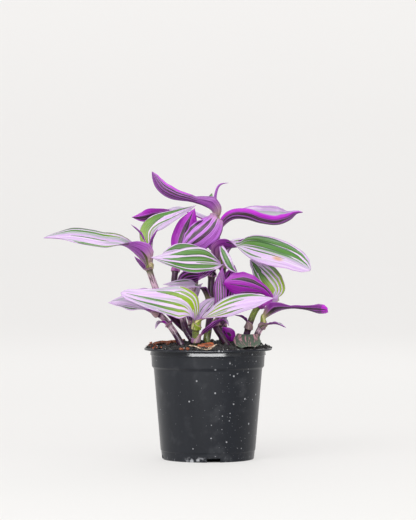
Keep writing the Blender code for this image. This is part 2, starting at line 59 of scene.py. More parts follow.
class Tint(Enum):
    """Named colours of the plant and its pot, as screen values from 0 to 255."""

    LILAC = (205, 168, 222)
    PALE_PINK = (228, 208, 234)
    SILVER = (150, 168, 156)
    LEAF_GREEN = (84, 132, 58)
    DEEP_GREEN = (40, 76, 46)
    LIME = (142, 172, 0)
    BLUSH = (170, 90, 188)
    ROSE_LILAC = (200, 124, 224)
    # vivid magenta of a backlit underside, used as painted backlight
    PAINTED_BACKLIT_MAGENTA = (184, 0, 198)
    DUSKY = (82, 24, 92)
    PLUM = (38, 14, 44)
    OLIVE_PLUM = (58, 42, 46)
    PINK_LINE = (184, 100, 190)
    CREAM = (226, 216, 150)
    STEM_PURPLE = (40, 14, 34)
    STEM_BROWN = (86, 58, 38)
    STEM_PINK = (220, 184, 204)
    STEM_GREEN = (130, 150, 56)
    NODE_RING = (66, 40, 48)
    WITHERED_GREEN = (80, 98, 80)
    WITHERED_PINK = (204, 146, 160)
    CHARCOAL = (10, 14, 22)
    CHARCOAL_WARM = (18, 23, 33)
    # dust on the pot, also used to paint the pot's lighter left side as painted light
    DUST_AND_PAINTED_LIGHT = (206, 208, 214)
    PEAT = (16, 15, 18)
    PEAT_BROWN = (40, 34, 34)
    PERLITE = (226, 224, 220)
    SCAR = (208, 164, 134)
    BARK_ORANGE = (186, 92, 36)
    BARK_DARK = (74, 34, 18)
    PAPER = (226, 208, 182)
    PAPER_BROWN = (150, 112, 78)
    FLOOR = (243, 241, 240)
    FLOOR_PAINT = (150, 149, 148)

    @property
    def linear(self) -> tuple[float, float, float, float]:
        """The colour as the shader wants it."""
        shares = [c / 255.0 for c in self.value]
        return (*[s / 12.92 if s < 0.04045 else ((s + 0.055) / 1.055) ** 2.4 for s in shares], 1.0)


class Slot(Enum):
    """Finish slots of the record."""

    POT = "pot_plastic"
    MIX = "potting_mix"
    BARK = "bark"
    STEM = "stem"
    STRIPED = "leaf_variegated"
    PURPLE = "leaf_purple_side"


Paint = Union[Tint, "Signal"]


# ---------------------------------------------------------------- wiring of a finish
class Signal:
    """A number, place or colour inside a finish, on which sums can be worked."""

    def __init__(self, graph: "Graph", socket: Socket) -> None:
        """Hold one output of a node."""
        self.graph, self.socket = graph, socket

    def __mul__(self, other: Value) -> "Signal":
        """This signal times a number or a signal."""
        return self.graph.number("MULTIPLY", self, other)

    def __add__(self, other: Value) -> "Signal":
        """This signal and a number or a signal."""
        return self.graph.number("ADD", self, other)

    def __radd__(self, other: float) -> "Signal":
        """A plain number and this signal."""
        return self.graph.number("ADD", other, self)

    def __sub__(self, other: Value) -> "Signal":
        """This signal less a number or a signal."""
        return self.graph.number("SUBTRACT", self, other)

    def __rsub__(self, other: float) -> "Signal":
        """A plain number less this signal."""
        return self.graph.number("SUBTRACT", other, self)

    def step(self, low: float, high: float) -> "Signal":
        """Soft step from 0 at the low value to 1 at the high one."""
        item = self.graph.node("MapRange", interpolation_type="SMOOTHSTEP")
        return self.graph.through(item, self, low, high)


class Graph:
    """A hand for wiring the nodes of one finish."""

    def __init__(self, name: str) -> None:
        """Start a material of one principled shader.

        Args:
            name: name of the material.
        """
        self.material = bpy.data.materials.new(name)
        self.material.use_nodes = True
        self.tree = self.material.node_tree
        self.shader = self.tree.nodes["Principled BSDF"]

    def node(self, kind: str, **settings: object) -> bpy.types.Node:
        """Add a node.

        Args:
            kind: the node's type name without its ShaderNode start.
            settings: properties to set on it.

        Returns:
            The new node.
        """
        item = self.tree.nodes.new("ShaderNode" + kind)
        for key, value in settings.items():
            setattr(item, key, value)
        return item

    def feed(self, target: Socket, value: Value) -> None:
        """Link a signal to an input, or set a plain value on it.

        Args:
            target: the input.
            value: what it is given.
        """
        if isinstance(value, Signal):
            self.tree.links.new(value.socket, target)
        else:
            target.default_value = value

    def through(self, item: bpy.types.Node, *values: Value) -> Signal:
        """Feed a node's inputs in their order.

        Args:
            item: the node.
            values: what each input is given.

        Returns:
            The node's first output.
        """
        for target, value in zip(item.inputs, values):
            self.feed(target, value)
        return Signal(self, item.outputs[0])

    def reading(self, name: str) -> Signal:
        """Number stored on the mesh under a name."""
        return Signal(self, self.node("Attribute", attribute_name=name).outputs["Fac"])

    def number(self, operation: str, first: Value, second: Value = 0.0) -> Signal:
        """Result of one sum, named as Blender names it, such as MULTIPLY."""
        return self.through(self.node("Math", operation=operation), first, second)

    def spot(self, x: Value, y: Value, z: Value) -> Signal:
        """Three numbers as one place."""
        return self.through(self.node("CombineXYZ"), x, y, z)

    def mixed(self, share: Value, first: Paint, second: Paint) -> Signal:
        """Blend two colours.

        Args:
            share: 0 gives the first and 1 the second.
            first: a tint or a colour signal.
            second: a tint or a colour signal.

        Returns:
            The blended colour.
        """
        item = self.node("Mix", data_type="RGBA")
        self.feed(item.inputs[0], share)
        for place, colour in ((6, first), (7, second)):
            self.feed(item.inputs[place], colour.linear if isinstance(colour, Tint) else colour)
        return Signal(self, item.outputs[2])

    def layered(self, ground: Paint, *coats: tuple[Value, Paint]) -> Signal:
        """Lay coats over a ground colour.

        Args:
            ground: the first colour.
            coats: how much of each coat shows, and its colour.

        Returns:
            The colour with every coat on it.
        """
        for share, coat in coats:
            ground = self.mixed(share, ground, coat)
        return ground

    def solid_place(self) -> tuple[Signal, list[Signal]]:
        """Place on the object, in metres.

        Returns:
            The place as one signal, and its x, y and z.
        """
        place = Signal(self, self.node("TexCoord").outputs["Object"])
        apart = self.node("SeparateXYZ")
        self.feed(apart.inputs[0], place)
        return place, [Signal(self, output) for output in apart.outputs]

    def noise(self, place: Signal, scale: float, detail: float = 3.0,
              roughness: float = 0.55) -> Signal:
        """Cloudy noise from 0 to 1.

        Args:
            place: where it is read.
            scale: clouds to the metre.
            detail: number of finer layers.
            roughness: how strong the finer layers are.

        Returns:
            The noise.
        """
        item = self.node("TexNoise")
        for name, value in (("Vector", place), ("Scale", scale), ("Detail", detail),
                            ("Roughness", roughness)):
            self.feed(item.inputs[name], value)
        return Signal(self, item.outputs["Fac"])

    def relief(self, height: Signal, strength: float, depth: float) -> None:
        """Raise the surface by a height.

        Args:
            height: height from 0 to 1.
            strength: how much of it shows.
            depth: what 1 stands for, in mm.
        """
        item = self.node("Bump")
        item.inputs["Strength"].default_value = strength
        item.inputs["Distance"].default_value = depth * MM
        self.feed(item.inputs["Height"], height)
        self.feed(self.shader.inputs["Normal"], Signal(self, item.outputs[0]))

    def close(self, colour: Signal, roughness: Signal, sheen: float = 0.5) -> bpy.types.Material:
        """Feed the shader and hand over the material.

        Args:
            colour: base colour.
            roughness: roughness.
            sheen: strength of the mirror light, with 0.5 for a plain surface.

        Returns:
            The finished material.
        """
        self.feed(self.shader.inputs["Base Color"], colour)
        self.feed(self.shader.inputs["Roughness"], roughness)
        self.feed(self.shader.inputs["Specular IOR Level"], sheen)
        return self.material


# ---------------------------------------------------------------- finishes
@dataclass(frozen=True)
class PotPlastic:
    """Charcoal satin polypropylene with dust, dried splashes and a painted lighter left side. Its
    places are in metres.
    """

    streaks_round: float = 60.0
    streaks_up: float = 7.0
    speck_scale: float = 330.0
    fine_speck_scale: float = 759.0
    bare_share: float = 0.965
    grain_scale: float = 2600.0
    sheen: float = 0.28

    def specks(self, graph: Graph, place: Signal, scale: float, size: float,
               rarity: Value) -> Signal:
        """Scattered round specks.

        Args:
            graph: the finish being wired.
            place: place on the pot.
            scale: cells to the metre.
            size: radius of a speck as a share of its cell.
            rarity: share of the cells that stay empty.

        Returns:
            1 on a speck, 0 off it.
        """
        cells = graph.node("TexVoronoi")
        graph.feed(cells.inputs["Vector"], place)
        cells.inputs["Scale"].default_value = scale
        apart = graph.node("SeparateColor")
        chance = graph.through(apart, Signal(graph, cells.outputs["Color"]))
        kept = graph.number("GREATER_THAN", chance, rarity)
        reach = Signal(graph, apart.outputs[1]) * size
        return (Signal(graph, cells.outputs["Distance"]) - reach).step(0.06, -0.03) * kept

    def smears(self, graph: Graph, place: Signal, foot: Sequence[Signal],
               front: Signal) -> Signal:
        """Dried splash low on the front, and scuffs round the foot.

        Args:
            graph: the finish being wired.
            place: place on the pot.
            foot: x and z of the place.
            front: 1 on the front of the pot.

        Returns:
            1 where the dirt is thickest.
        """
        x, z = foot
        across = x.step(-0.022, -0.012) * x.step(-0.001, -0.005)
        ragged = graph.noise(place, 420.0, 5.0).step(0.42, 0.62)
        splash = z.step(0.0055, 0.001) * across * front * ragged
        scuffs = z.step(0.008, 0.0) * graph.noise(place, 300.0, 5.0).step(0.56, 0.7)
        return graph.number("MAXIMUM", splash, scuffs * 0.35)

    def material(self) -> bpy.types.Material:
        """Wire the plastic."""
        graph = Graph("charcoal_polypropylene")
        place, (x, y, z) = graph.solid_place()
        cloud = graph.noise(place, 26.0)
        streaks = graph.noise(graph.spot(x * self.streaks_round, y * self.streaks_round,
                                         z * self.streaks_up), 1.0, 4.0)
        front = y.step(0.0, -0.03)
        slant = x + z * -0.12
        splashed = front * (slant.step(-0.016, 0.012) * slant.step(0.036, 0.022))
        rarity = self.bare_share - splashed * 0.24
        large = self.specks(graph, place, self.speck_scale, 0.26, rarity)
        fine = self.specks(graph, place, self.fine_speck_scale, 0.22, rarity)
        specks = graph.number("MAXIMUM", large, fine * 0.55)
        dusty = graph.number("MAXIMUM", specks * 0.5,
                             self.smears(graph, place, (x, z), front) * 0.7)
        # painted light: the left side is lightened with the dust colour, standing for light falling
        # from the left; the rest of the film is real dust
        painted_left_light = x.step(0.018, -0.03) * 0.03
        dust_film_and_painted_light = graph.noise(place, 75.0, 6.0).step(0.5, 0.8) * 0.04 + painted_left_light * streaks
        colour = graph.layered(Tint.CHARCOAL, (streaks, Tint.CHARCOAL_WARM),
                               (graph.number("MAXIMUM", dusty, dust_film_and_painted_light), Tint.DUST_AND_PAINTED_LIGHT))
        grain = graph.noise(place, self.grain_scale, 2.0)
        glossy_collar = z.step(0.0855, 0.0865) * z.step(0.0900, 0.0892)
        roughness = 0.25 + cloud * 0.1 - glossy_collar * 0.12 + dusty * 0.4
        graph.relief(grain * 0.35 + (streaks * 0.4 + specks), 0.25, 0.12)
        return graph.close(colour, roughness, self.sheen)


@dataclass(frozen=True)
class GroundFinish:
    """Crumbly or fibrous stuff of two tones, such as peat, perlite, bark or dry paper."""

    name: str
    main: Tint
    other: Tint
    scale: float
    roughness: float
    stretch: float = 1.0

    def material(self) -> bpy.types.Material:
        """Wire the finish."""
        graph = Graph(self.name)
        _, (x, y, z) = graph.solid_place()
        drawn = graph.spot(x * (1.0 / self.stretch), y, z)
        tone = graph.noise(drawn, self.scale, 5.0, 0.65)
        pits = graph.noise(drawn, self.scale * 3.7, 4.0)
        graph.relief(tone + pits * 0.6, 0.7, 0.5)
        return graph.close(graph.mixed(tone.step(0.4, 0.66), self.main, self.other),
                           self.roughness + pits * 0.2)


@dataclass(frozen=True)
class StemSkin:
    """Juicy stem skin: purple below, pink or green above, dark at the nodes."""

    name: str = "stem_skin"
    sheen: float = 0.35

    def material(self) -> bpy.types.Material:
        """Wire the skin from the readings that a stem stores on its mesh."""
        graph = Graph(self.name)
        x, y, run = (graph.reading(name) for name in ("round_x", "round_y", "run"))
        streaks = graph.noise(graph.spot(x, y, run * 0.05), 3.2, 4.0)
        fine = graph.noise(graph.spot(x, y, run * 0.12), 9.0, 3.0)
        colour = graph.layered(
            Tint.STEM_PURPLE, (streaks.step(0.4, 0.62), Tint.DUSKY),
            (fine.step(0.52, 0.62), Tint.STEM_BROWN),
            (graph.reading("pink") * streaks.step(0.36, 0.56), Tint.STEM_PINK),
            (graph.reading("green") * fine.step(0.34, 0.56), Tint.STEM_GREEN),
            (graph.reading("node") * 0.8, Tint.NODE_RING))
        graph.relief(fine + streaks, 0.4, 0.15)
        return graph.close(colour, 0.3 + fine * 0.2, self.sheen)


@dataclass(frozen=True)
class LeafSkin:
    """Skin of one side of the leaves, wired from the readings that a leaf stores.

    The readings are across (-1 to 1), along (0 at the neck, 1 at the tip, less in the sheath),
    pigment (over 0.5 in a green stripe), lime, glow (painted backlight), pale, neck, seed and scar.
    """

    name: str
    underside: bool
    sheen: float = 0.28

    def lines(self, graph: Graph, across: float, along: float, detail: float) -> Signal:
        """Noise drawn out along the leaf, so that it follows the veins.

        Args:
            graph: the finish being wired.
            across: lines across the leaf.
            along: changes along it.
            detail: number of finer layers.

        Returns:
            The noise.
        """
        place = graph.spot(graph.reading("across") * across, graph.reading("along") * along,
                           graph.reading("seed") * 61.0)
        return graph.noise(place, 1.0, detail)

    def upper_colour(self, graph: Graph, stripe: Signal, fine: Signal, broad: Signal) -> Signal:
        """Lilac and silver with green stripes.

        Args:
            graph: the finish being wired.
            stripe: 1 inside a green stripe.
            fine: noise of pinstripes.
            broad: noise of wide bands.

        Returns:
            The colour of the upper side.
        """
        along, pigment = graph.reading("along"), graph.reading("pigment")
        pale = graph.layered(
            Tint.LILAC, (fine.step(0.42, 0.62), Tint.PALE_PINK),
            (broad.step(0.5, 0.68) * 0.75, Tint.SILVER),
            (along.step(0.16, -0.05) * 0.45, Tint.BLUSH),
            (pigment.step(0.2, 0.4) * 0.7, Tint.PALE_PINK))
        green = graph.layered(
            Tint.DEEP_GREEN, (pigment.step(0.58, 0.85), Tint.LEAF_GREEN),
            (broad.step(0.4, 0.7), Tint.LEAF_GREEN),
            (graph.reading("lime") * along.step(0.62, 0.1), Tint.LIME),
            (fine.step(0.55, 0.64) * 0.5, Tint.SILVER))
        return graph.layered(pale, (stripe, green),
                             (graph.reading("scar") * fine.step(0.3, 0.55), Tint.SCAR))

    def under_colour(self, graph: Graph, stripe: Signal, fine: Signal, broad: Signal) -> Signal:
        """Magenta brightened by painted backlight, with plum stripes, lime and cream ribs at the
        mouth of the sheath.

        Args:
            graph: the finish being wired.
            stripe: 1 inside a stripe.
            fine: noise of pinstripes.
            broad: noise of wide bands.

        Returns:
            The colour of the underside.
        """
        glow = graph.reading("glow")
        # painted backlight: the glow reading turns the dusky purple to vivid magenta where light
        # would shine through the leaf
        rich = graph.layered(
            Tint.DUSKY, (glow, Tint.PAINTED_BACKLIT_MAGENTA),
            (graph.reading("pale") * fine.step(0.25, 0.6), Tint.ROSE_LILAC),
            (fine.step(0.49, 0.4) * (0.6 - glow * 0.5), Tint.PLUM),
            (graph.reading("pigment").step(0.22, 0.44) * 0.4, Tint.ROSE_LILAC))
        dark = graph.layered(Tint.PLUM, (broad.step(0.4, 0.6), Tint.OLIVE_PLUM),
                             (fine.step(0.56, 0.64) * 0.5, Tint.PINK_LINE))
        young = graph.mixed(broad.step(0.4, 0.6), Tint.LIME, Tint.CREAM)
        mouth = graph.reading("along").step(0.16, -0.1) * fine.step(0.34, 0.46)
        return graph.layered(rich, (stripe, dark), (mouth * graph.reading("neck"), young))

    def material(self) -> bpy.types.Material:
        """Wire the skin."""
        graph = Graph(self.name)
        broad = self.lines(graph, 4.0, 1.1, 2.0)
        fine = self.lines(graph, 21.0, 1.6, 3.0)
        veins = self.lines(graph, 46.0, 1.2, 2.0)
        shaken = graph.reading("pigment") + (fine - 0.5) * 0.34
        paint = self.under_colour if self.underside else self.upper_colour
        edge = graph.number("ABSOLUTE", graph.reading("across")).step(0.95, 0.99)
        colour = graph.mixed(edge * 0.7, paint(graph, shaken.step(0.47, 0.53), fine, broad),
                             Tint.BLUSH)
        place, _ = graph.solid_place()
        cells = graph.noise(place, 2400.0, 2.0)
        graph.relief(veins + cells * 0.25, 0.35, 0.2)
        return graph.close(colour, 0.34 + fine * 0.22, self.sheen)


@dataclass(frozen=True)
class WitheredSkin:
    """Limp grey-green leaf with pink veins."""

    name: str = "withered_leaf_skin"

    def material(self) -> bpy.types.Material:
        """Wire the skin."""
        graph = Graph(self.name)
        place, _ = graph.solid_place()
        bent = graph.noise(graph.spot(graph.reading("across") * 7.0,
                                      graph.reading("along") * 1.3, 3.0), 1.0, 3.0)
        crinkle = graph.noise(place, 260.0, 4.0)
        colour = graph.layered(Tint.WITHERED_GREEN, (bent.step(0.54, 0.6), Tint.WITHERED_PINK),
                               (crinkle.step(0.5, 0.75), Tint.DEEP_GREEN))
        graph.relief(bent + crinkle, 0.6, 0.6)
        return graph.close(colour, 0.45 + crinkle * 0.25)


# ---------------------------------------------------------------- shared shaping
SAMPLES_PER_SPAN = 40
WELD_GAP = 0.005 * MM


def bridge(s: float, start: np.ndarray, leaving: np.ndarray, end: np.ndarray,
           arriving: np.ndarray) -> np.ndarray:
    """Point of a smooth curve between two places.

    Args:
        s: share of the way.
        start: place at 0.
        leaving: speed at the start.
        end: place at 1.
        arriving: speed at the end.

    Returns:
        The point.
    """
    return ((2 * s ** 3 - 3 * s ** 2 + 1) * start + (s ** 3 - 2 * s ** 2 + s) * leaving
            + (-2 * s ** 3 + 3 * s ** 2) * end + (s ** 3 - s ** 2) * arriving)


def smooth_path(points: Sequence[Point], count: int) -> np.ndarray:
    """Smooth curve through points, at even steps of its length.

    Args:
        points: the points, with any further columns carried along.
        count: number of steps.

    Returns:
        count + 1 rows.
    """
    rows = np.array(points, float)
    chords = np.linalg.norm(np.diff(rows[:, :3], axis=0), axis=1)
    knots = np.concatenate([[0.0], np.cumsum(chords ** 0.5)])
    slopes = np.diff(rows, axis=0) / np.diff(knots)[:, None]
    lean = np.zeros_like(rows)
    for i in range(1, len(rows) - 1):
        before, after = knots[i] - knots[i - 1], knots[i + 1] - knots[i]
        lean[i] = (slopes[i - 1] * after + slopes[i] * before) / (before + after)
    lean[0] = 1.5 * slopes[0] - 0.5 * lean[1]
    lean[-1] = 1.5 * slopes[-1] - 0.5 * lean[-2]
    found = []
    for i in range(len(rows) - 1):
        step = knots[i + 1] - knots[i]
        for s in np.linspace(0.0, 1.0, SAMPLES_PER_SPAN, endpoint=(i == len(rows) - 2)):
            found.append(bridge(s, rows[i], step * lean[i], rows[i + 1], step * lean[i + 1]))
    found = np.array(found)
    steps = np.linalg.norm(np.diff(found[:, :3], axis=0), axis=1)
    travelled = np.concatenate([[0.0], np.cumsum(steps)])
    wanted = np.linspace(0.0, travelled[-1], count + 1)
    return np.stack([np.interp(wanted, travelled, found[:, k])
                     for k in range(found.shape[1])], axis=1)


def unit(vector: np.ndarray) -> np.ndarray:
    """The vector at length 1."""
    return vector / max(np.linalg.norm(vector), 1e-9)


def put(name: str, data: bpy.types.ID) -> bpy.types.Object:
    """Put a mesh, a light or a camera into the scene as a new object."""
    item = bpy.data.objects.new(name, data)
    bpy.context.scene.collection.objects.link(item)
    return item


def turned_mesh(name: str, section: Iterable[Point], steps: int, weld: bool) -> bpy.types.Mesh:
    """Turn a section round the upright axis.

    Args:
        name: the mesh's name.
        section: (radius, height) points, in metres.
        steps: steps of the turn.
        weld: whether meeting points are joined, for a section that closes on the axis.

    Returns:
        The mesh.
    """
    shell = bmesh.new()
    line = [shell.verts.new((radius, 0.0, height)) for radius, height in section]
    edges = [shell.edges.new(pair) for pair in zip(line, line[1:])]
    bmesh.ops.spin(shell, geom=line + edges, axis=(0, 0, 1), cent=(0, 0, 0),
                   angle=2 * math.pi, steps=steps, use_merge=True)
    if weld:
        bmesh.ops.remove_doubles(shell, verts=shell.verts, dist=WELD_GAP)
        bmesh.ops.recalc_face_normals(shell, faces=shell.faces)
    mesh = bpy.data.meshes.new(name)
    shell.to_mesh(mesh)
    shell.free()
    return mesh


def make_piece(name: str, points: np.ndarray, faces: Sequence[Sequence[int]],
               materials: Sequence[bpy.types.Material],
               stands_for: Iterable[str] = (), smooth: bool = True) -> bpy.types.Object:
    """Make a piece of the visual model, riding on the root body.

    Args:
        name: the piece's name.
        points: its points, in mm.
        faces: its faces, as rows of point numbers.
        materials: its materials, in slot order.
        stands_for: CAD nodes it stands for.
        smooth: whether it is shaded smooth.

    Returns:
        The new object.
    """
    mesh = bpy.data.meshes.new(name)
    mesh.from_pydata((np.asarray(points) * MM).tolist(), [], [tuple(face) for face in faces])
    for material in materials:
        mesh.materials.append(material)
    if smooth:
        mesh.shade_smooth()
    piece = put(name, mesh)
    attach(piece, "root")
    if stands_for:
        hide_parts(*stands_for)
    return piece


def store(piece: bpy.types.Object, name: str, values: np.ndarray) -> None:
    """Store a number for each point of a piece, for its finish to read."""
    reading = piece.data.attributes.new(name, "FLOAT", "POINT")
    reading.data.foreach_set("value", np.asarray(values, float).ravel())


def sheet_points(upper: np.ndarray, lower: np.ndarray) -> np.ndarray:
    """Points of a closed sheet, in the order in which sheet_faces counts them."""
    return np.concatenate([np.reshape(upper, (-1, 3)), np.reshape(lower, (-1, 3))])


def sheet_faces(rows: int, columns: int) -> tuple[list[tuple[int, ...]], int]:
    """Faces of a closed sheet of two grids, the upper one first.

    Args:
        rows: points along the sheet.
        columns: points across it.

    Returns:
        The faces, and how many of them belong to the upper side.
    """
    lower = rows * columns

    def at(i: int, j: int) -> int:
        """Number of a point of the upper grid."""
        return i * columns + j

    upper = [(at(i, j), at(i, j + 1), at(i + 1, j + 1), at(i + 1, j))
             for i in range(rows - 1) for j in range(columns - 1)]
    faces = upper + [tuple(k + lower for k in reversed(face)) for face in upper]
    last = columns - 1
    for i in range(rows - 1):
        faces.append((at(i, 0), at(i + 1, 0), at(i + 1, 0) + lower, at(i, 0) + lower))
        faces.append((at(i, last) + lower, at(i + 1, last) + lower, at(i + 1, last), at(i, last)))
    end = rows - 1
    for j in range(columns - 1):
        faces.append((at(0, j) + lower, at(0, j + 1) + lower, at(0, j + 1), at(0, j)))
        faces.append((at(end, j), at(end, j + 1), at(end, j + 1) + lower, at(end, j) + lower))
    return faces, len(upper)


# ---------------------------------------------------------------- pot
@dataclass
class NurseryPot:
    """Round nursery pot with a flange, a stepped collar, a foot ring and drainage."""

    rim_radius: float = 52.7
    height: float = 92.0
    flange_underside: float = 90.0
    collar_radius: float = 47.4
    collar_bottom: float = 75.2
    body_top_radius: float = 44.8
    body_foot_radius: float = 39.2
    foot_radius: float = 38.0
    wall: float = 1.2
    floor_top: float = 4.2
    floor_underside: float = 2.6
    pad_radius: float = 21.4
    notch_count: int = 4
    drain_count: int = 8
    notch_width: float = 11.0
    notch_height: float = 4.0
    notch_first: float = -83.0
    drain_radius: float = 3.2
    drain_ring: float = 29.5
    steps: int = 192
    edge_round: float = 0.45
    sharp_angle: float = 34.0
    notch_ring: float = 37.2
    notch_depth: float = 5.0
    wall_inside: float = 36.5
    drain_depth: float = 8.0
    drain_sides: int = 32

    def profile(self) -> list[Point]:
        """Section of the pot, as (radius, height) points from the inside round to the pad."""
        inner = self.collar_radius - self.wall
        return [
            (0.0, self.floor_top), (36.2, self.floor_top), (37.1, 5.0),
            (self.body_top_radius - self.wall, 74.8), (45.3, 76.5), (inner, 86.0),
            (inner, 90.6), (46.9, 91.7), (48.0, self.height), (52.0, self.height),
            (self.rim_radius, 91.5), (self.rim_radius, 90.4), (52.3, self.flange_underside),
            (47.5, self.flange_underside), (47.4, 89.4), (47.8, 86.4), (47.7, 86.0),
            (46.9, 85.6), (46.4, 76.6), (45.1, self.collar_bottom),
            (self.body_top_radius, 74.4), (self.body_foot_radius, 7.6), (38.7, 7.0),
            (38.6, 6.0), (self.foot_radius, 0.6), (37.5, 0.0), (36.2, 0.0),
            (35.8, self.floor_underside), (self.pad_radius + 0.6, self.floor_underside),
            (self.pad_radius, 0.0), (0.0, 0.0),
        ]

    def rounded(self) -> list[Point]:
        """The section with its corners eased."""
        corners = [np.array(point) for point in self.profile()]
        eased = [corners[0]]
        for before, corner, after in zip(corners, corners[1:], corners[2:]):
            reach_in = min(self.edge_round, np.linalg.norm(before - corner) * 0.4)
            reach_out = min(self.edge_round, np.linalg.norm(after - corner) * 0.4)
            start = corner + unit(before - corner) * reach_in
            end = corner + unit(after - corner) * reach_out
            for s in (0.0, 0.33, 0.67, 1.0):
                eased.append((1 - s) ** 2 * start + 2 * s * (1 - s) * corner + s * s * end)
        return [tuple(point) for point in eased + [corners[-1]]]

    def build(self, finish: bpy.types.Material) -> bpy.types.Object:
        """Turn the section, cut the notches and the drain holes.

        Args:
            finish: the pot's plastic.

        Returns:
            The pot.
        """
        section = [(radius * MM, height * MM) for radius, height in self.rounded()]
        pot = put("nursery_pot", turned_mesh("nursery_pot", section, self.steps, weld=True))
        cutters = [self.cutter(k) for k in range(self.drain_count)]
        for cutter in cutters:
            cut = pot.modifiers.new(cutter.name, "BOOLEAN")
            cut.operation = "DIFFERENCE"
            cut.solver = "EXACT"
            cut.object = cutter
        bpy.context.view_layer.update()
        graph = bpy.context.evaluated_depsgraph_get()
        finished = bpy.data.meshes.new_from_object(pot.evaluated_get(graph))
        pot.modifiers.clear()
        pot.data = finished
        for cutter in cutters:
            bpy.data.objects.remove(cutter, do_unlink=True)
        finished.materials.clear()
        finished.materials.append(finish)
        finished.shade_smooth()
        finished.set_sharp_from_angle(angle=math.radians(self.sharp_angle))
        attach(pot, "root")
        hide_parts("pot")
        return pot

    def cutter(self, number: int) -> bpy.types.Object:
        """Shape of one drain hole, with a notch at every second one.

        Args:
            number: place round the foot.

        Returns:
            The object to subtract.
        """
        angle = math.radians(self.notch_first + 360.0 * number / self.drain_count)
        shape = bmesh.new()
        if number % (self.drain_count // self.notch_count) == 0:
            bmesh.ops.create_cube(shape, size=1.0)
        for vert in shape.verts:
            out = self.notch_ring + vert.co.x * self.notch_depth
            wide = vert.co.y * self.notch_width
            high = min(vert.co.z * 2.0 * self.notch_height,
                       self.floor_underside - 0.05 if out < self.wall_inside
                       else self.notch_height)
            vert.co = Vector((out * math.cos(angle) - wide * math.sin(angle),
                              out * math.sin(angle) + wide * math.cos(angle), high)) * MM
        hole = bmesh.ops.create_cone(shape, cap_ends=True, segments=self.drain_sides,
                                     radius1=self.drain_radius * MM,
                                     radius2=self.drain_radius * MM,
                                     depth=self.drain_depth * MM)
        centre = Vector((math.cos(angle), math.sin(angle), 0.0)) * self.drain_ring * MM
        for vert in hole["verts"]:
            vert.co += centre + Vector((0.0, 0.0, self.floor_top * MM))
        mesh = bpy.data.meshes.new("cutter_%d" % number)
        shape.to_mesh(mesh)
        shape.free()
        return put(mesh.name, mesh)


# ---------------------------------------------------------------- potting mix
@dataclass(frozen=True)
class Spill:
    """Bits lying on the pot's flange round one heading."""

    count: int
    heading: float
    spread: float
    seed: int


@dataclass(frozen=True)
class Scatter:
    """Bits spread over the mix: how many, how far out, how far above it, and their seed."""

    count: int
    reach: float
    lift: float
    seed: int
    shift: float = 0.0


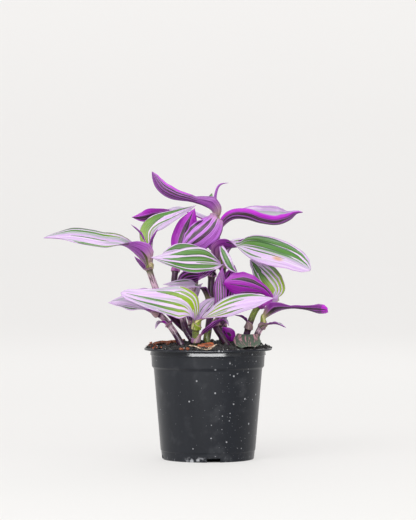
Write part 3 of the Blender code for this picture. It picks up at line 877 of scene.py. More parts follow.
@dataclass
class PottingMix:
    """Dark mix mounded in the pot, with crumbs, perlite, bark and a dry leaf sheath."""

    edge_radius: float = 45.6
    edge_height: float = 90.6
    crown: float = 5.6
    rings: int = 44
    spokes: int = 120
    hidden: tuple[Point, ...] = ((45.7, 86.0), (44.8, 76.7), (43.1, 75.0), (36.6, 5.3),
                                 (36.2, 4.7))
    uneven: tuple[float, float] = (-0.55, 0.75)
    flange: tuple[float, float] = (46.5, 51.2)
    flange_top: float = 92.2
    pile: float = 1.6
    smallness: float = 2.2
    lumpiness: float = 0.28
    seed: int = 11

    def height(self, x: float, y: float) -> float:
        """Height of the mix surface, all in mm.

        Args:
            x: place to the right.
            y: place to the back.

        Returns:
            The height.
        """
        radius = min(math.hypot(x, y) / self.edge_radius, 1.0)
        dome = self.edge_height + self.crown * (1.0 - radius * radius)
        lumps = 0.45 * math.sin(0.31 * x + 1.0) * math.sin(0.27 * y + 0.4)
        return dome + lumps * (1.0 - radius ** 4)

    def surface(self, finish: bpy.types.Material) -> bpy.types.Object:
        """Rough top of the mix, with the sides and bottom that the pot hides.

        Args:
            finish: the peat.

        Returns:
            The surface piece.
        """
        draw = random.Random(self.seed)
        profile = [(self.edge_radius * (i / self.rings), None) for i in range(1, self.rings + 1)]
        profile += self.hidden
        points = [(0.0, 0.0, self.height(0.0, 0.0))]
        for radius, level in profile:
            for k in range(self.spokes):
                angle = 2.0 * math.pi * k / self.spokes
                x, y = radius * math.cos(angle), radius * math.sin(angle)
                calm = min(1.0, radius / 12.0 + 0.3)
                rough = draw.uniform(*self.uneven) * calm
                points.append((x, y, self.height(x, y) + rough if level is None else level))
        bottom = len(points)
        points.append((0.0, 0.0, self.hidden[-1][1]))
        faces = []
        for k in range(self.spokes):
            near, far = 1 + k, 1 + (k + 1) % self.spokes
            faces.append((0, near, far))
            for ring in range(len(profile) - 1):
                start = ring * self.spokes
                faces.append((near + start, near + start + self.spokes,
                              far + start + self.spokes, far + start))
            start = (len(profile) - 1) * self.spokes
            faces.append((near + start, bottom, far + start))
        return make_piece("mix_surface", np.array(points), faces, [finish],
                          ["potting_mix"], smooth=False)

    def scattered(self, name: str, finish: bpy.types.Material, places: Sequence[Point],
                  sizes: tuple[float, float], flat: float) -> bpy.types.Object:
        """Lumps of one kind as one piece.

        Args:
            name: the piece's name.
            finish: its material.
            places: middle of each lump, in mm.
            sizes: least and most radius, in mm.
            flat: least height of a lump as a share of its width.

        Returns:
            The piece.
        """
        draw = np.random.default_rng(self.seed + len(name))
        ball = bmesh.new()
        bmesh.ops.create_icosphere(ball, subdivisions=2, radius=1.0)
        shape = np.array([vert.co[:] for vert in ball.verts])
        sides = np.array([[vert.index for vert in face.verts] for face in ball.faces])
        ball.free()
        points, faces = [], []
        for number, place in enumerate(places):
            size = sizes[0] + (sizes[1] - sizes[0]) * draw.random() ** self.smallness
            bumps = draw.standard_normal((len(shape), 1)).clip(-1.5, 1.5)
            lump = shape * (1.0 + self.lumpiness * bumps)
            lump = lump * size * np.array([draw.uniform(0.7, 1.3), draw.uniform(0.6, 1.0),
                                           draw.uniform(flat, 0.9)])
            turn, _ = np.linalg.qr(draw.standard_normal((3, 3)))
            points.append(lump @ turn + np.array(place))
            faces.append(sides + number * len(shape))
        return make_piece(name, np.concatenate(points), np.concatenate(faces).tolist(), [finish],
                          smooth=False)

    def spread(self, scatter: Scatter) -> list[Point]:
        """Random places on the mix surface, in mm.

        Args:
            scatter: the bits to spread.

        Returns:
            The places.
        """
        draw = random.Random(scatter.seed)
        found = []
        for _ in range(scatter.count):
            radius = scatter.reach * math.sqrt(draw.random())
            angle = draw.uniform(0.0, 2.0 * math.pi)
            x, y = radius * math.cos(angle), radius * math.sin(angle)
            found.append((x + scatter.shift, y, self.height(x, y) + draw.uniform(-0.2, scatter.lift)))
        return found

    def spilt(self, spill: Spill) -> list[Point]:
        """Random places on the pot's flange, in mm.

        Args:
            spill: the bits to place.

        Returns:
            The places.
        """
        draw = random.Random(spill.seed)
        found = []
        for _ in range(spill.count):
            angle = math.radians(draw.gauss(spill.heading, spill.spread))
            radius = draw.uniform(*self.flange)
            found.append((radius * math.cos(angle), radius * math.sin(angle),
                          self.flange_top + draw.random() ** 2 * self.pile))
        return found

    def build(self, peat: bpy.types.Material, grit: bpy.types.Material,
              bark: bpy.types.Material) -> None:
        """Build the surface, the crumbs, the grit and the bits of bark.

        Args:
            peat: finish of the surface and the crumbs.
            grit: finish of the perlite.
            bark: finish of the bits of bark.
        """
        self.surface(peat)
        crumbs = self.spread(Scatter(1500, 45.0, 0.9, 5))
        for spill in (Spill(70, 12.0, 34.0, 21), Spill(60, 172.0, 26.0, 22),
                      Spill(60, 265.0, 34.0, 23), Spill(40, 90.0, 60.0, 24)):
            crumbs += self.spilt(spill)
        self.scattered("mix_crumbs", peat, crumbs, (0.45, 2.1), 0.5)
        specks = self.spread(Scatter(150, 45.0, 1.5, 6))
        for spill in (Spill(26, 8.0, 18.0, 31), Spill(14, 180.0, 10.0, 32),
                      Spill(14, 265.0, 30.0, 33)):
            specks += self.spilt(spill)
        self.scattered("mix_perlite", grit, specks, (0.2, 0.75), 0.6)
        splinters = self.spilt(Spill(34, 176.0, 20.0, 41)) + self.spilt(Spill(10, 250.0, 24.0, 42))
        splinters += self.spread(Scatter(26, 14.0, 0.8, 43, shift=-34.0))
        self.scattered("bark_bits", bark, splinters, (0.5, 1.9), 0.25)


@dataclass
class BarkChip:
    """Split sliver of bark lying on the mix."""

    name: str
    place: tuple[float, float]
    size: tuple[float, float, float]
    heading: float
    tilt: float
    lift: float = 2.4
    twist: float = 0.8
    fray: float = 0.09
    taper: float = 0.75
    grain: float = 0.22
    rows: int = 31
    columns: int = 9

    def build(self, mix: PottingMix, finish: bpy.types.Material) -> bpy.types.Object:
        """Shape the chip with splintered ends and a grained top.

        Args:
            mix: the mix it lies on.
            finish: the bark.

        Returns:
            The chip.
        """
        rows, columns = self.rows, self.columns
        draw = np.random.default_rng(sum(map(ord, self.name)))
        frayed = draw.uniform(-1.0, 1.0, (2, columns))
        turn = math.radians(self.heading)
        upper = np.zeros((rows, columns, 3))
        for i in range(rows):
            u = i / (rows - 1) - 0.5
            for j in range(columns):
                v = j / (columns - 1) - 0.5
                fray = frayed[int(u > 0), j] * self.fray * abs(2.0 * u) ** 4
                long = (u + math.copysign(fray, u)) * self.size[0] * (1.0 - 0.1 * abs(v))
                wide = v * self.size[1] * (1.0 - self.taper * abs(u) ** 1.6)
                x = self.place[0] + long * math.cos(turn) - wide * math.sin(turn)
                y = self.place[1] + long * math.sin(turn) + wide * math.cos(turn)
                rise = (self.lift + self.twist * math.sin(4.0 * u) * v
                        + math.radians(self.tilt) * long * 0.5)
                grain = self.grain * math.sin(j * 2.6 + 0.25 * i) + draw.uniform(-0.08, 0.08)
                upper[i, j] = (x, y, mix.height(x, y) + self.size[2] + rise + grain)
        lower = upper - np.array([0.0, 0.0, self.size[2]])
        faces, _ = sheet_faces(rows, columns)
        return make_piece("chip_" + self.name, sheet_points(upper, lower), faces, [finish],
                          ["bark_chip_" + self.name], smooth=False)


@dataclass
class DrySheath:
    """Thin dry leaf sheath lying on the mix and over the front of the rim."""

    path: tuple[Point, ...] = ((-15, -40, 95.5), (-10, -44.5, 94.8), (-5, -48.5, 93.6),
                               (0, -51, 92.6), (2.5, -46.5, 94.2), (7, -42, 96.5))
    width: float = 4.2
    thickness: float = 0.18
    crumple: float = 0.6
    rows: int = 49
    columns: int = 9

    def build(self, finish: bpy.types.Material) -> bpy.types.Object:
        """Drape the strip, crumpled across.

        Args:
            finish: the dry skin.

        Returns:
            The sheath.
        """
        rows, columns = self.rows, self.columns
        line = smooth_path(self.path, rows - 1)
        along = np.gradient(line, axis=0)
        upper = np.zeros((rows, columns, 3))
        for i in range(rows):
            side = unit(np.cross(along[i], [0.0, 0.0, 1.0]))
            share = math.sin(math.pi * (0.08 + 0.84 * i / (rows - 1))) ** 0.6
            for j in range(columns):
                v = j / (columns - 1) - 0.5
                crease = 0.5 * math.sin(9.0 * v + 0.35 * i) + 0.25 * math.sin(0.9 * i)
                upper[i, j] = line[i] + side * v * self.width * share
                upper[i, j, 2] += crease * self.crumple
        lower = upper - np.array([0.0, 0.0, self.thickness])
        faces, _ = sheet_faces(rows, columns)
        return make_piece("dry_sheath", sheet_points(upper, lower), faces, [finish])


# ---------------------------------------------------------------- stems
@dataclass
class Stem:
    """Jointed stem: a swept tube, swollen and ringed at its nodes."""

    name: str
    foot: float
    tip: float
    path: tuple[Point, ...]
    pink: tuple[float, float] = (1.1, 1.2)
    green: tuple[float, float] = (1.1, 1.2)
    steps: int = 110
    sides: int = 20
    buried: float = 3.0
    fade: float = 0.07
    swelling: float = 0.16
    swollen_length: float = 1.3
    ridge: float = 0.025
    ridges: float = 5.0

    def line(self, mix: PottingMix) -> np.ndarray:
        """Middle line of the stem from under the mix to its tip, in mm."""
        x, y = self.path[0]
        return smooth_path(((x, y, mix.height(x, y) - self.buried),) + self.path[1:], self.steps)

    def nearest(self, mix: PottingMix, point: Sequence[float]) -> float:
        """Share along the stem of the place nearest to a point."""
        gaps = np.linalg.norm(self.line(mix) - np.array(point, float), axis=1)
        return float(np.argmin(gaps)) / self.steps

    def length(self, mix: PottingMix) -> float:
        """Length of the stem, in mm."""
        return float(np.linalg.norm(np.diff(self.line(mix), axis=0), axis=1).sum())

    def within(self, share: float, zone: tuple[float, float]) -> float:
        """1 inside a zone of the stem, fading to 0 just outside it."""
        gap = max(zone[0] - share, share - zone[1], 0.0)
        return max(0.0, 1.0 - gap / self.fade)

    def radius(self, share: float) -> float:
        """Radius at a share of the length, before any swelling."""
        return self.foot + (self.tip - self.foot) * share

    def build(self, mix: PottingMix, nodes: Sequence[float],
              finish: bpy.types.Material) -> bpy.types.Object:
        """Sweep the stem.

        Args:
            mix: the mix it grows from.
            nodes: shares of the length where leaves leave it.
            finish: the stem's skin.

        Returns:
            The stem.
        """
        line, length = self.line(mix), self.length(mix)
        tangent = np.gradient(line, axis=0)
        side = unit(np.cross(tangent[0], [0.0, 1.0, 0.0]))
        points, readings = [], []
        for i in range(self.steps + 1):
            share = i / self.steps
            ahead = unit(tangent[i])
            side = unit(side - ahead * side.dot(ahead))
            across = np.cross(ahead, side)
            near = max((math.exp(-((share - node) * length / self.swollen_length) ** 2)
                        for node in nodes), default=0.0)
            dome = math.sqrt(max(0.02, min(1.0, (1.0 - share) * length / self.tip)))
            radius = self.radius(share) * (1.0 + self.swelling * near) * dome
            pink, green = self.within(share, self.pink), self.within(share, self.green)
            for k in range(self.sides):
                angle = 2.0 * math.pi * k / self.sides
                ridge = 1.0 + self.ridge * math.sin(self.ridges * angle + share * 3.0)
                points.append(line[i] + radius * ridge * (math.cos(angle) * side
                                                          + math.sin(angle) * across))
                readings.append((math.cos(angle), math.sin(angle), share * length, pink, green,
                                 near))
        faces = [(i * self.sides + k, i * self.sides + (k + 1) % self.sides,
                  (i + 1) * self.sides + (k + 1) % self.sides, (i + 1) * self.sides + k)
                 for i in range(self.steps) for k in range(self.sides)]
        faces.append(tuple(reversed(range(self.sides))))
        faces.append(tuple(self.steps * self.sides + k for k in range(self.sides)))
        piece = make_piece("stalk_" + self.name, np.array(points), faces, [finish],
                           ["stem_" + self.name])
        for k, name in enumerate(("round_x", "round_y", "run", "pink", "green", "node")):
            store(piece, name, np.array(readings)[:, k])
        return piece


STEMS = (
    Stem("main", 3.1, 2.6, ((-2, 8), (2, 8, 120), (3, 6, 150), (6, 3, 176), (6, 2, 197)),
         green=(0.82, 1.0)),
    Stem("left", 3.0, 2.5, ((-8, 6), (-15, 4, 103), (-27, -1, 115), (-38, -8, 129),
                            (-44, -12, 144), (-48.5, -14, 158), (-50, -14, 171)),
         pink=(0.5, 0.8), green=(0.85, 1.0)),
    Stem("front", 3.0, 2.7, ((-9, -24), (-10, -29, 103), (-9, -31.5, 114)), green=(0.25, 1.0)),
    Stem("rear_left", 2.9, 2.5, ((-9, -13), (-13, -12, 99), (-18, -9, 107), (-22, -2, 121),
                                 (-28, 6, 142), (-27, 10, 156), (-25, 12, 167)),
         pink=(0.35, 0.6)),
    Stem("low_left", 2.8, 2.3, ((-20, -19), (-26, -18, 103), (-34, -17, 114), (-39, -19, 119),
                                (-45, -22, 121.5)), pink=(0.4, 0.8)),
    Stem("right_upper", 2.9, 2.3, ((29, 0), (35, -4, 113), (40, -6, 124), (47, -9, 131),
                                   (51.5, -10, 139)), green=(0.5, 1.0)),
    Stem("right_lower", 2.8, 2.4, ((36, -6), (42, -8, 106), (46, -9, 112), (47.5, -9.5, 115)),
         pink=(0.6, 1.0)),
    Stem("middle", 2.6, 2.3, ((1, -14), (-1, -15, 101), (1, -12, 109)), green=(0.2, 1.0)),
    Stem("lean", 2.8, 2.4, ((18, -16), (11, -18, 102), (6, -21, 111), (8, -23, 117))),
    Stem("back", 3.0, 2.5, ((-12, 18), (-13, 28, 120), (-12, 34, 150), (-10, 36, 178)),
         pink=(0.45, 0.6), green=(0.85, 1.0)),
    Stem("back_right", 3.0, 2.5, ((12, 20), (12, 27, 115), (13, 32, 145), (11, 34, 173)),
         pink=(0.5, 0.68), green=(0.85, 1.0)),
)


# ---------------------------------------------------------------- leaves
class Stripes(Enum):
    """Layouts of green stripes: (place at the neck, at the tip, half-width, start, end)."""

    PAIRED = ((-0.58, -0.4, 0.17, 0.02, 0.92), (-0.16, -0.1, 0.07, 0.05, 0.8),
              (0.2, 0.12, 0.09, 0.0, 0.88), (0.62, 0.45, 0.16, 0.04, 0.95))
    BROAD = ((-0.55, -0.4, 0.3, 0.0, 0.97), (0.52, 0.4, 0.3, 0.0, 0.97),
             (0.0, 0.0, 0.05, 0.0, 0.7))
    EDGES = ((-0.86, -0.7, 0.16, 0.05, 0.95), (0.86, 0.7, 0.16, 0.05, 0.95),
             (0.12, 0.05, 0.06, 0.15, 0.75))
    LOW_SIDE_GREEN = ((-0.6, -0.5, 0.36, 0.0, 0.97), (-0.06, -0.02, 0.08, 0.0, 0.85),
                      (0.32, 0.25, 0.05, 0.02, 0.7))
    HIGH_SIDE_GREEN = ((0.6, 0.5, 0.36, 0.0, 0.97), (0.06, 0.02, 0.08, 0.0, 0.85),
                       (-0.32, -0.25, 0.05, 0.02, 0.7))
    HEART = ((0.0, 0.0, 0.34, 0.0, 0.85), (-0.62, -0.45, 0.09, 0.05, 0.8),
             (0.62, 0.45, 0.09, 0.05, 0.8))
    SPARSE = ((0.34, 0.25, 0.07, 0.1, 0.8), (-0.4, -0.3, 0.05, 0.1, 0.7),
              (0.85, 0.7, 0.1, 0.1, 0.9))
    SHADED = ((-0.62, -0.5, 0.2, 0.0, 1.0), (-0.1, -0.05, 0.2, 0.0, 1.0),
              (0.45, 0.35, 0.22, 0.0, 1.0))
    RIBBED = ((-0.75, -0.6, 0.1, 0.0, 0.95), (-0.35, -0.25, 0.13, 0.0, 0.95),
              (0.1, 0.05, 0.12, 0.0, 0.95), (0.5, 0.4, 0.14, 0.0, 0.95),
              (0.88, 0.75, 0.08, 0.0, 0.9))
    CENTRE_BAR = ((0.0, 0.0, 0.2, 0.05, 0.98), (0.36, 0.3, 0.05, 0.1, 0.7))
    NONE = ()


@dataclass
class Leaf:
    """Clasping leaf: a sheath round its stem that opens into a striped, cupped blade."""

    name: str
    on: str
    width: float
    cup: tuple[float, float]
    rib: tuple[Point, ...]
    base: float = 0.4
    peak: float = 0.4
    fold: float = 0.12
    head: Optional[float] = None
    shape: tuple[tuple[float, float], ...] = ()
    stripes: Stripes = Stripes.PAIRED
    bands: tuple[Point, ...] = ()
    # painted backlight: glow is how far each underside is turned from dusky purple to vivid magenta,
    # and lit gives bands painted fully bright where light shines through the leaf
    lit: tuple[Point, ...] = ()
    lime: float = 0.2
    glow: float = 0.3
    pale: float = 0.15
    neck: float = 0.4
    purple: bool = False
    withered: bool = False
    scar: Optional[tuple[float, float, float]] = None
    sheath: float = 6.0
    thickness: float = 0.62
    full_cup: float = 0.45
    least_cup: float = 0.02
    wrap: float = 2.95
    clearance: float = 0.5
    collar_rows: int = 14
    collar_span: float = 0.2
    furrows: float = 11.0
    furrow_depth: float = 0.1
    waves: float = 2.6
    wave_depth: float = 0.5
    large: float = 35.0

    def share(self, t: float) -> float:
        """Width of the blade at a place along it.

        Args:
            t: 0 at the neck, 1 at the tip.

        Returns:
            The width as a share of the leaf's full width.
        """
        if self.shape:
            places, shares = zip(*self.shape)
            return float(np.interp(t, places, shares))
        if t < self.peak:
            return self.base + (1.0 - self.base) * math.sin(math.pi / 2.0 * t / self.peak)
        u = (t - self.peak) / (1.0 - self.peak)
        return max((1.0 - u * u) * (1.0 - 0.25 * u * u), 0.02)

    def heading(self, path: np.ndarray) -> np.ndarray:
        """Level direction that the upper side is set out from.

        Args:
            path: the rib, used when the leaf has no heading of its own.

        Returns:
            The direction, at length 1.
        """
        if self.head is not None:
            angle = math.radians(self.head)
            return np.array([math.cos(angle), math.sin(angle), 0.0])
        way = path[-1] - path[0]
        way[2] = 0.0
        return unit(way)

    def blade_rows(self, steps: int) -> list[tuple]:
        """Set out the blade.

        Args:
            steps: steps along it.

        Returns:
            For each row its middle, side direction, upper direction, half-width, cup and fold.
        """
        rib = smooth_path([(*point, 0.0)[:4] for point in self.rib], steps)
        path = rib[:, :3]
        tangent = np.gradient(path, axis=0)
        side = np.cross(self.heading(path.copy()), [0.0, 0.0, 1.0])
        rows = []
        for i in range(steps + 1):
            t, ahead = i / steps, unit(tangent[i])
            flat = unit(side - ahead * side.dot(ahead))
            up = np.cross(flat, ahead)
            roll = math.radians(rib[i, 3])
            turned = flat * math.cos(roll) + up * math.sin(roll)
            normal = up * math.cos(roll) - flat * math.sin(roll)
            half = self.width / 2.0 * self.share(t)
            cup = math.radians(self.cup[0] + (self.cup[1] - self.cup[0])
                               * min(1.0, t / self.full_cup) ** 0.7)
            cup = cup if abs(cup) > self.least_cup else self.least_cup
            rows.append((path[i], turned, normal, half, cup, self.fold))
        return rows

    def sheath_rows(self, stem: Stem, mix: PottingMix, first: tuple, ahead: np.ndarray,
                    steps: int) -> list[tuple]:
        """Set out the sheath, from a ring round the stem to the neck of the blade.

        Args:
            stem: the stem it clasps.
            mix: the mix that the stem grows from.
            first: first row of the blade.
            ahead: direction of the rib at the neck.
            steps: rows to add.

        Returns:
            Rows like those of the blade.
        """
        line = stem.line(mix)
        spot = self.node_share(stem, mix)
        at = int(round(spot * stem.steps))
        centre = line[at]
        along = unit(line[min(at + 2, stem.steps)] - line[max(at - 2, 0)])
        neck, neck_turned, neck_normal, neck_half, neck_cup, fold = first
        if self.head is not None:
            out = -neck_normal
        else:
            level = self.heading(np.array([self.rib[0][:3], self.rib[-1][:3]], float))
            out = self.heading(np.array([centre, centre + (ahead + level) * 5.0]))
        out = unit(out - along * out.dot(along))
        ring = stem.radius(spot) * (1.0 + stem.swelling) + self.clearance
        start = centre + out * ring
        reach = np.linalg.norm(neck - start)
        rows = []
        for i in range(steps):
            s = i / steps
            soft = s * s * (3.0 - 2.0 * s)
            middle = bridge(s, start, reach * along, neck, reach * ahead)
            normal = unit(-out * (1.0 - soft) + neck_normal * soft)
            turned = unit(np.cross(along, -out) * (1.0 - soft) + neck_turned * soft)
            turned = turned if turned.dot(neck_turned) > -0.2 else neck_turned
            turned = unit(turned - normal * turned.dot(normal))
            cup = self.wrap * (1.0 - soft) + neck_cup * soft
            radius = ring * (1.0 - soft) + neck_half / neck_cup * soft
            rows.append((middle, turned, normal, radius * cup, cup, fold * soft))
        return rows

    def node_share(self, stem: Stem, mix: PottingMix) -> float:
        """Share along the stem of the node that the sheath rises from."""
        share = stem.nearest(mix, self.rib[0][:3]) - self.sheath / stem.length(mix)
        return min(max(share, 0.04), 0.98)

    def banding(self, v: np.ndarray, t: float, bands: Sequence[Point]) -> np.ndarray:
        """Depth inside the nearest band across one row.

        Args:
            v: places across the leaf.
            t: place along it.
            bands: place at the neck, at the tip, half-width, start and end of each band.

        Returns:
            0 well outside, 0.5 on an edge, 1 in the middle.
        """
        field = np.full(len(v), -1.0)
        place = max(t, 0.0)
        for neck, tip, half, start, end in bands:
            middle = neck + (tip - neck) * place
            u = (place - start) / (end - start)
            if 0.0 <= u <= 1.0:
                taper = min(1.0, 0.35 + u * 4.0) * min(1.0, (1.0 - u) * 3.0) ** 0.6
                field = np.maximum(field, 1.0 - np.abs(v - middle) / max(half * taper, 0.01))
        return np.clip(field, -1.0, 1.0) * 0.5 + 0.5

    def build(self, stem: Optional[Stem], mix: PottingMix,
              finishes: Sequence[bpy.types.Material]) -> bpy.types.Object:
        """Shape the leaf and store its readings.

        Args:
            stem: the stem it clasps, if it has one.
            mix: the mix that the stem grows from.
            finishes: skin of the upper side and of the underside.

        Returns:
            The leaf.
        """
        size = sum(math.dist(a[:3], b[:3]) for a, b in zip(self.rib, self.rib[1:]))
        steps, columns = (64, 41) if size > self.large else (40, 25)
        rows = self.blade_rows(steps)
        places = [i / steps for i in range(steps + 1)]
        if stem is not None:
            collar = self.collar_rows
            ahead = unit(rows[1][0] - rows[0][0])
            rows = self.sheath_rows(stem, mix, rows[0], ahead, collar) + rows
            places = [-self.collar_span * (1.0 - i / collar) for i in range(collar)] + places
        seed = sum(map(ord, self.name)) * 0.137 % 1.0
        v = np.linspace(-1.0, 1.0, columns)
        upper, lower, green, painted_backlight = [], [], [], []
        for (middle, turned, normal, half, cup, fold), t in zip(rows, places):
            open_share = min(1.0, max(0.0, t * 6.0)) * min(1.0, (1.0 - t) * 5.0)
            sideways = np.sin(cup * v) / cup
            lift = (1.0 - np.cos(cup * v)) / cup + fold * np.abs(v)
            points = middle + half * (sideways[:, None] * turned + lift[:, None] * normal)
            out = np.cos(cup * v)[:, None] * normal - np.sin(cup * v)[:, None] * turned
            furrow = self.furrow_depth * np.cos(math.pi * self.furrows * v) * (1.0 - v ** 6)
            wave = self.wave_depth * v ** 4 * np.sin(
                2.0 * math.pi * (self.waves * t + seed) + 1.4 * np.sign(v))
            points = points + out * (open_share * (furrow + wave * min(1.0, half / 8.0)))[:, None]
            deep = self.thickness / 2.0 * (1.0 - 0.7 * v ** 8) * min(1.0, 0.35 + half / 3.0)
            upper.append(points + out * deep[:, None])
            lower.append(points - out * deep[:, None])
            green.append(self.banding(v, t, self.bands or self.stripes.value))
            # painted backlight for the underside: the leaf's glow, raised to full inside its lit
            # bands
            painted_backlight.append(self.glow + (1.0 - self.glow)
                          * np.clip(self.banding(v, t, self.lit) * 3.0 - 1.0, 0.0, 1.0))
        points = sheet_points(np.array(upper), np.array(lower))
        faces, top = sheet_faces(len(rows), columns)
        piece = make_piece("blade_" + self.name, points, faces, finishes,
                           ["leaf_" + self.name])
        piece.data.polygons.foreach_set("material_index",
                                        [0] * top + [len(finishes) - 1] * (len(faces) - top))
        store(piece, "across", np.tile(v, 2 * len(rows)))
        store(piece, "along", np.tile(np.repeat(places, columns), 2))
        store(piece, "pigment", np.tile(np.array(green).ravel(), 2))
        store(piece, "glow", np.tile(np.array(painted_backlight).ravel(), 2))
        if self.scar is not None:
            at, aside, reach = self.scar
            away = np.hypot((np.array(places)[:, None] - at) / reach, (v - aside) / (3.0 * reach))
            store(piece, "scar", np.tile(np.clip(1.6 - away, 0.0, 1.0).ravel(), 2))
        for name, amount in (("lime", self.lime), ("pale", self.pale), ("neck", self.neck),
                             ("seed", seed)):
            store(piece, name, np.full(len(points), amount))
        return piece


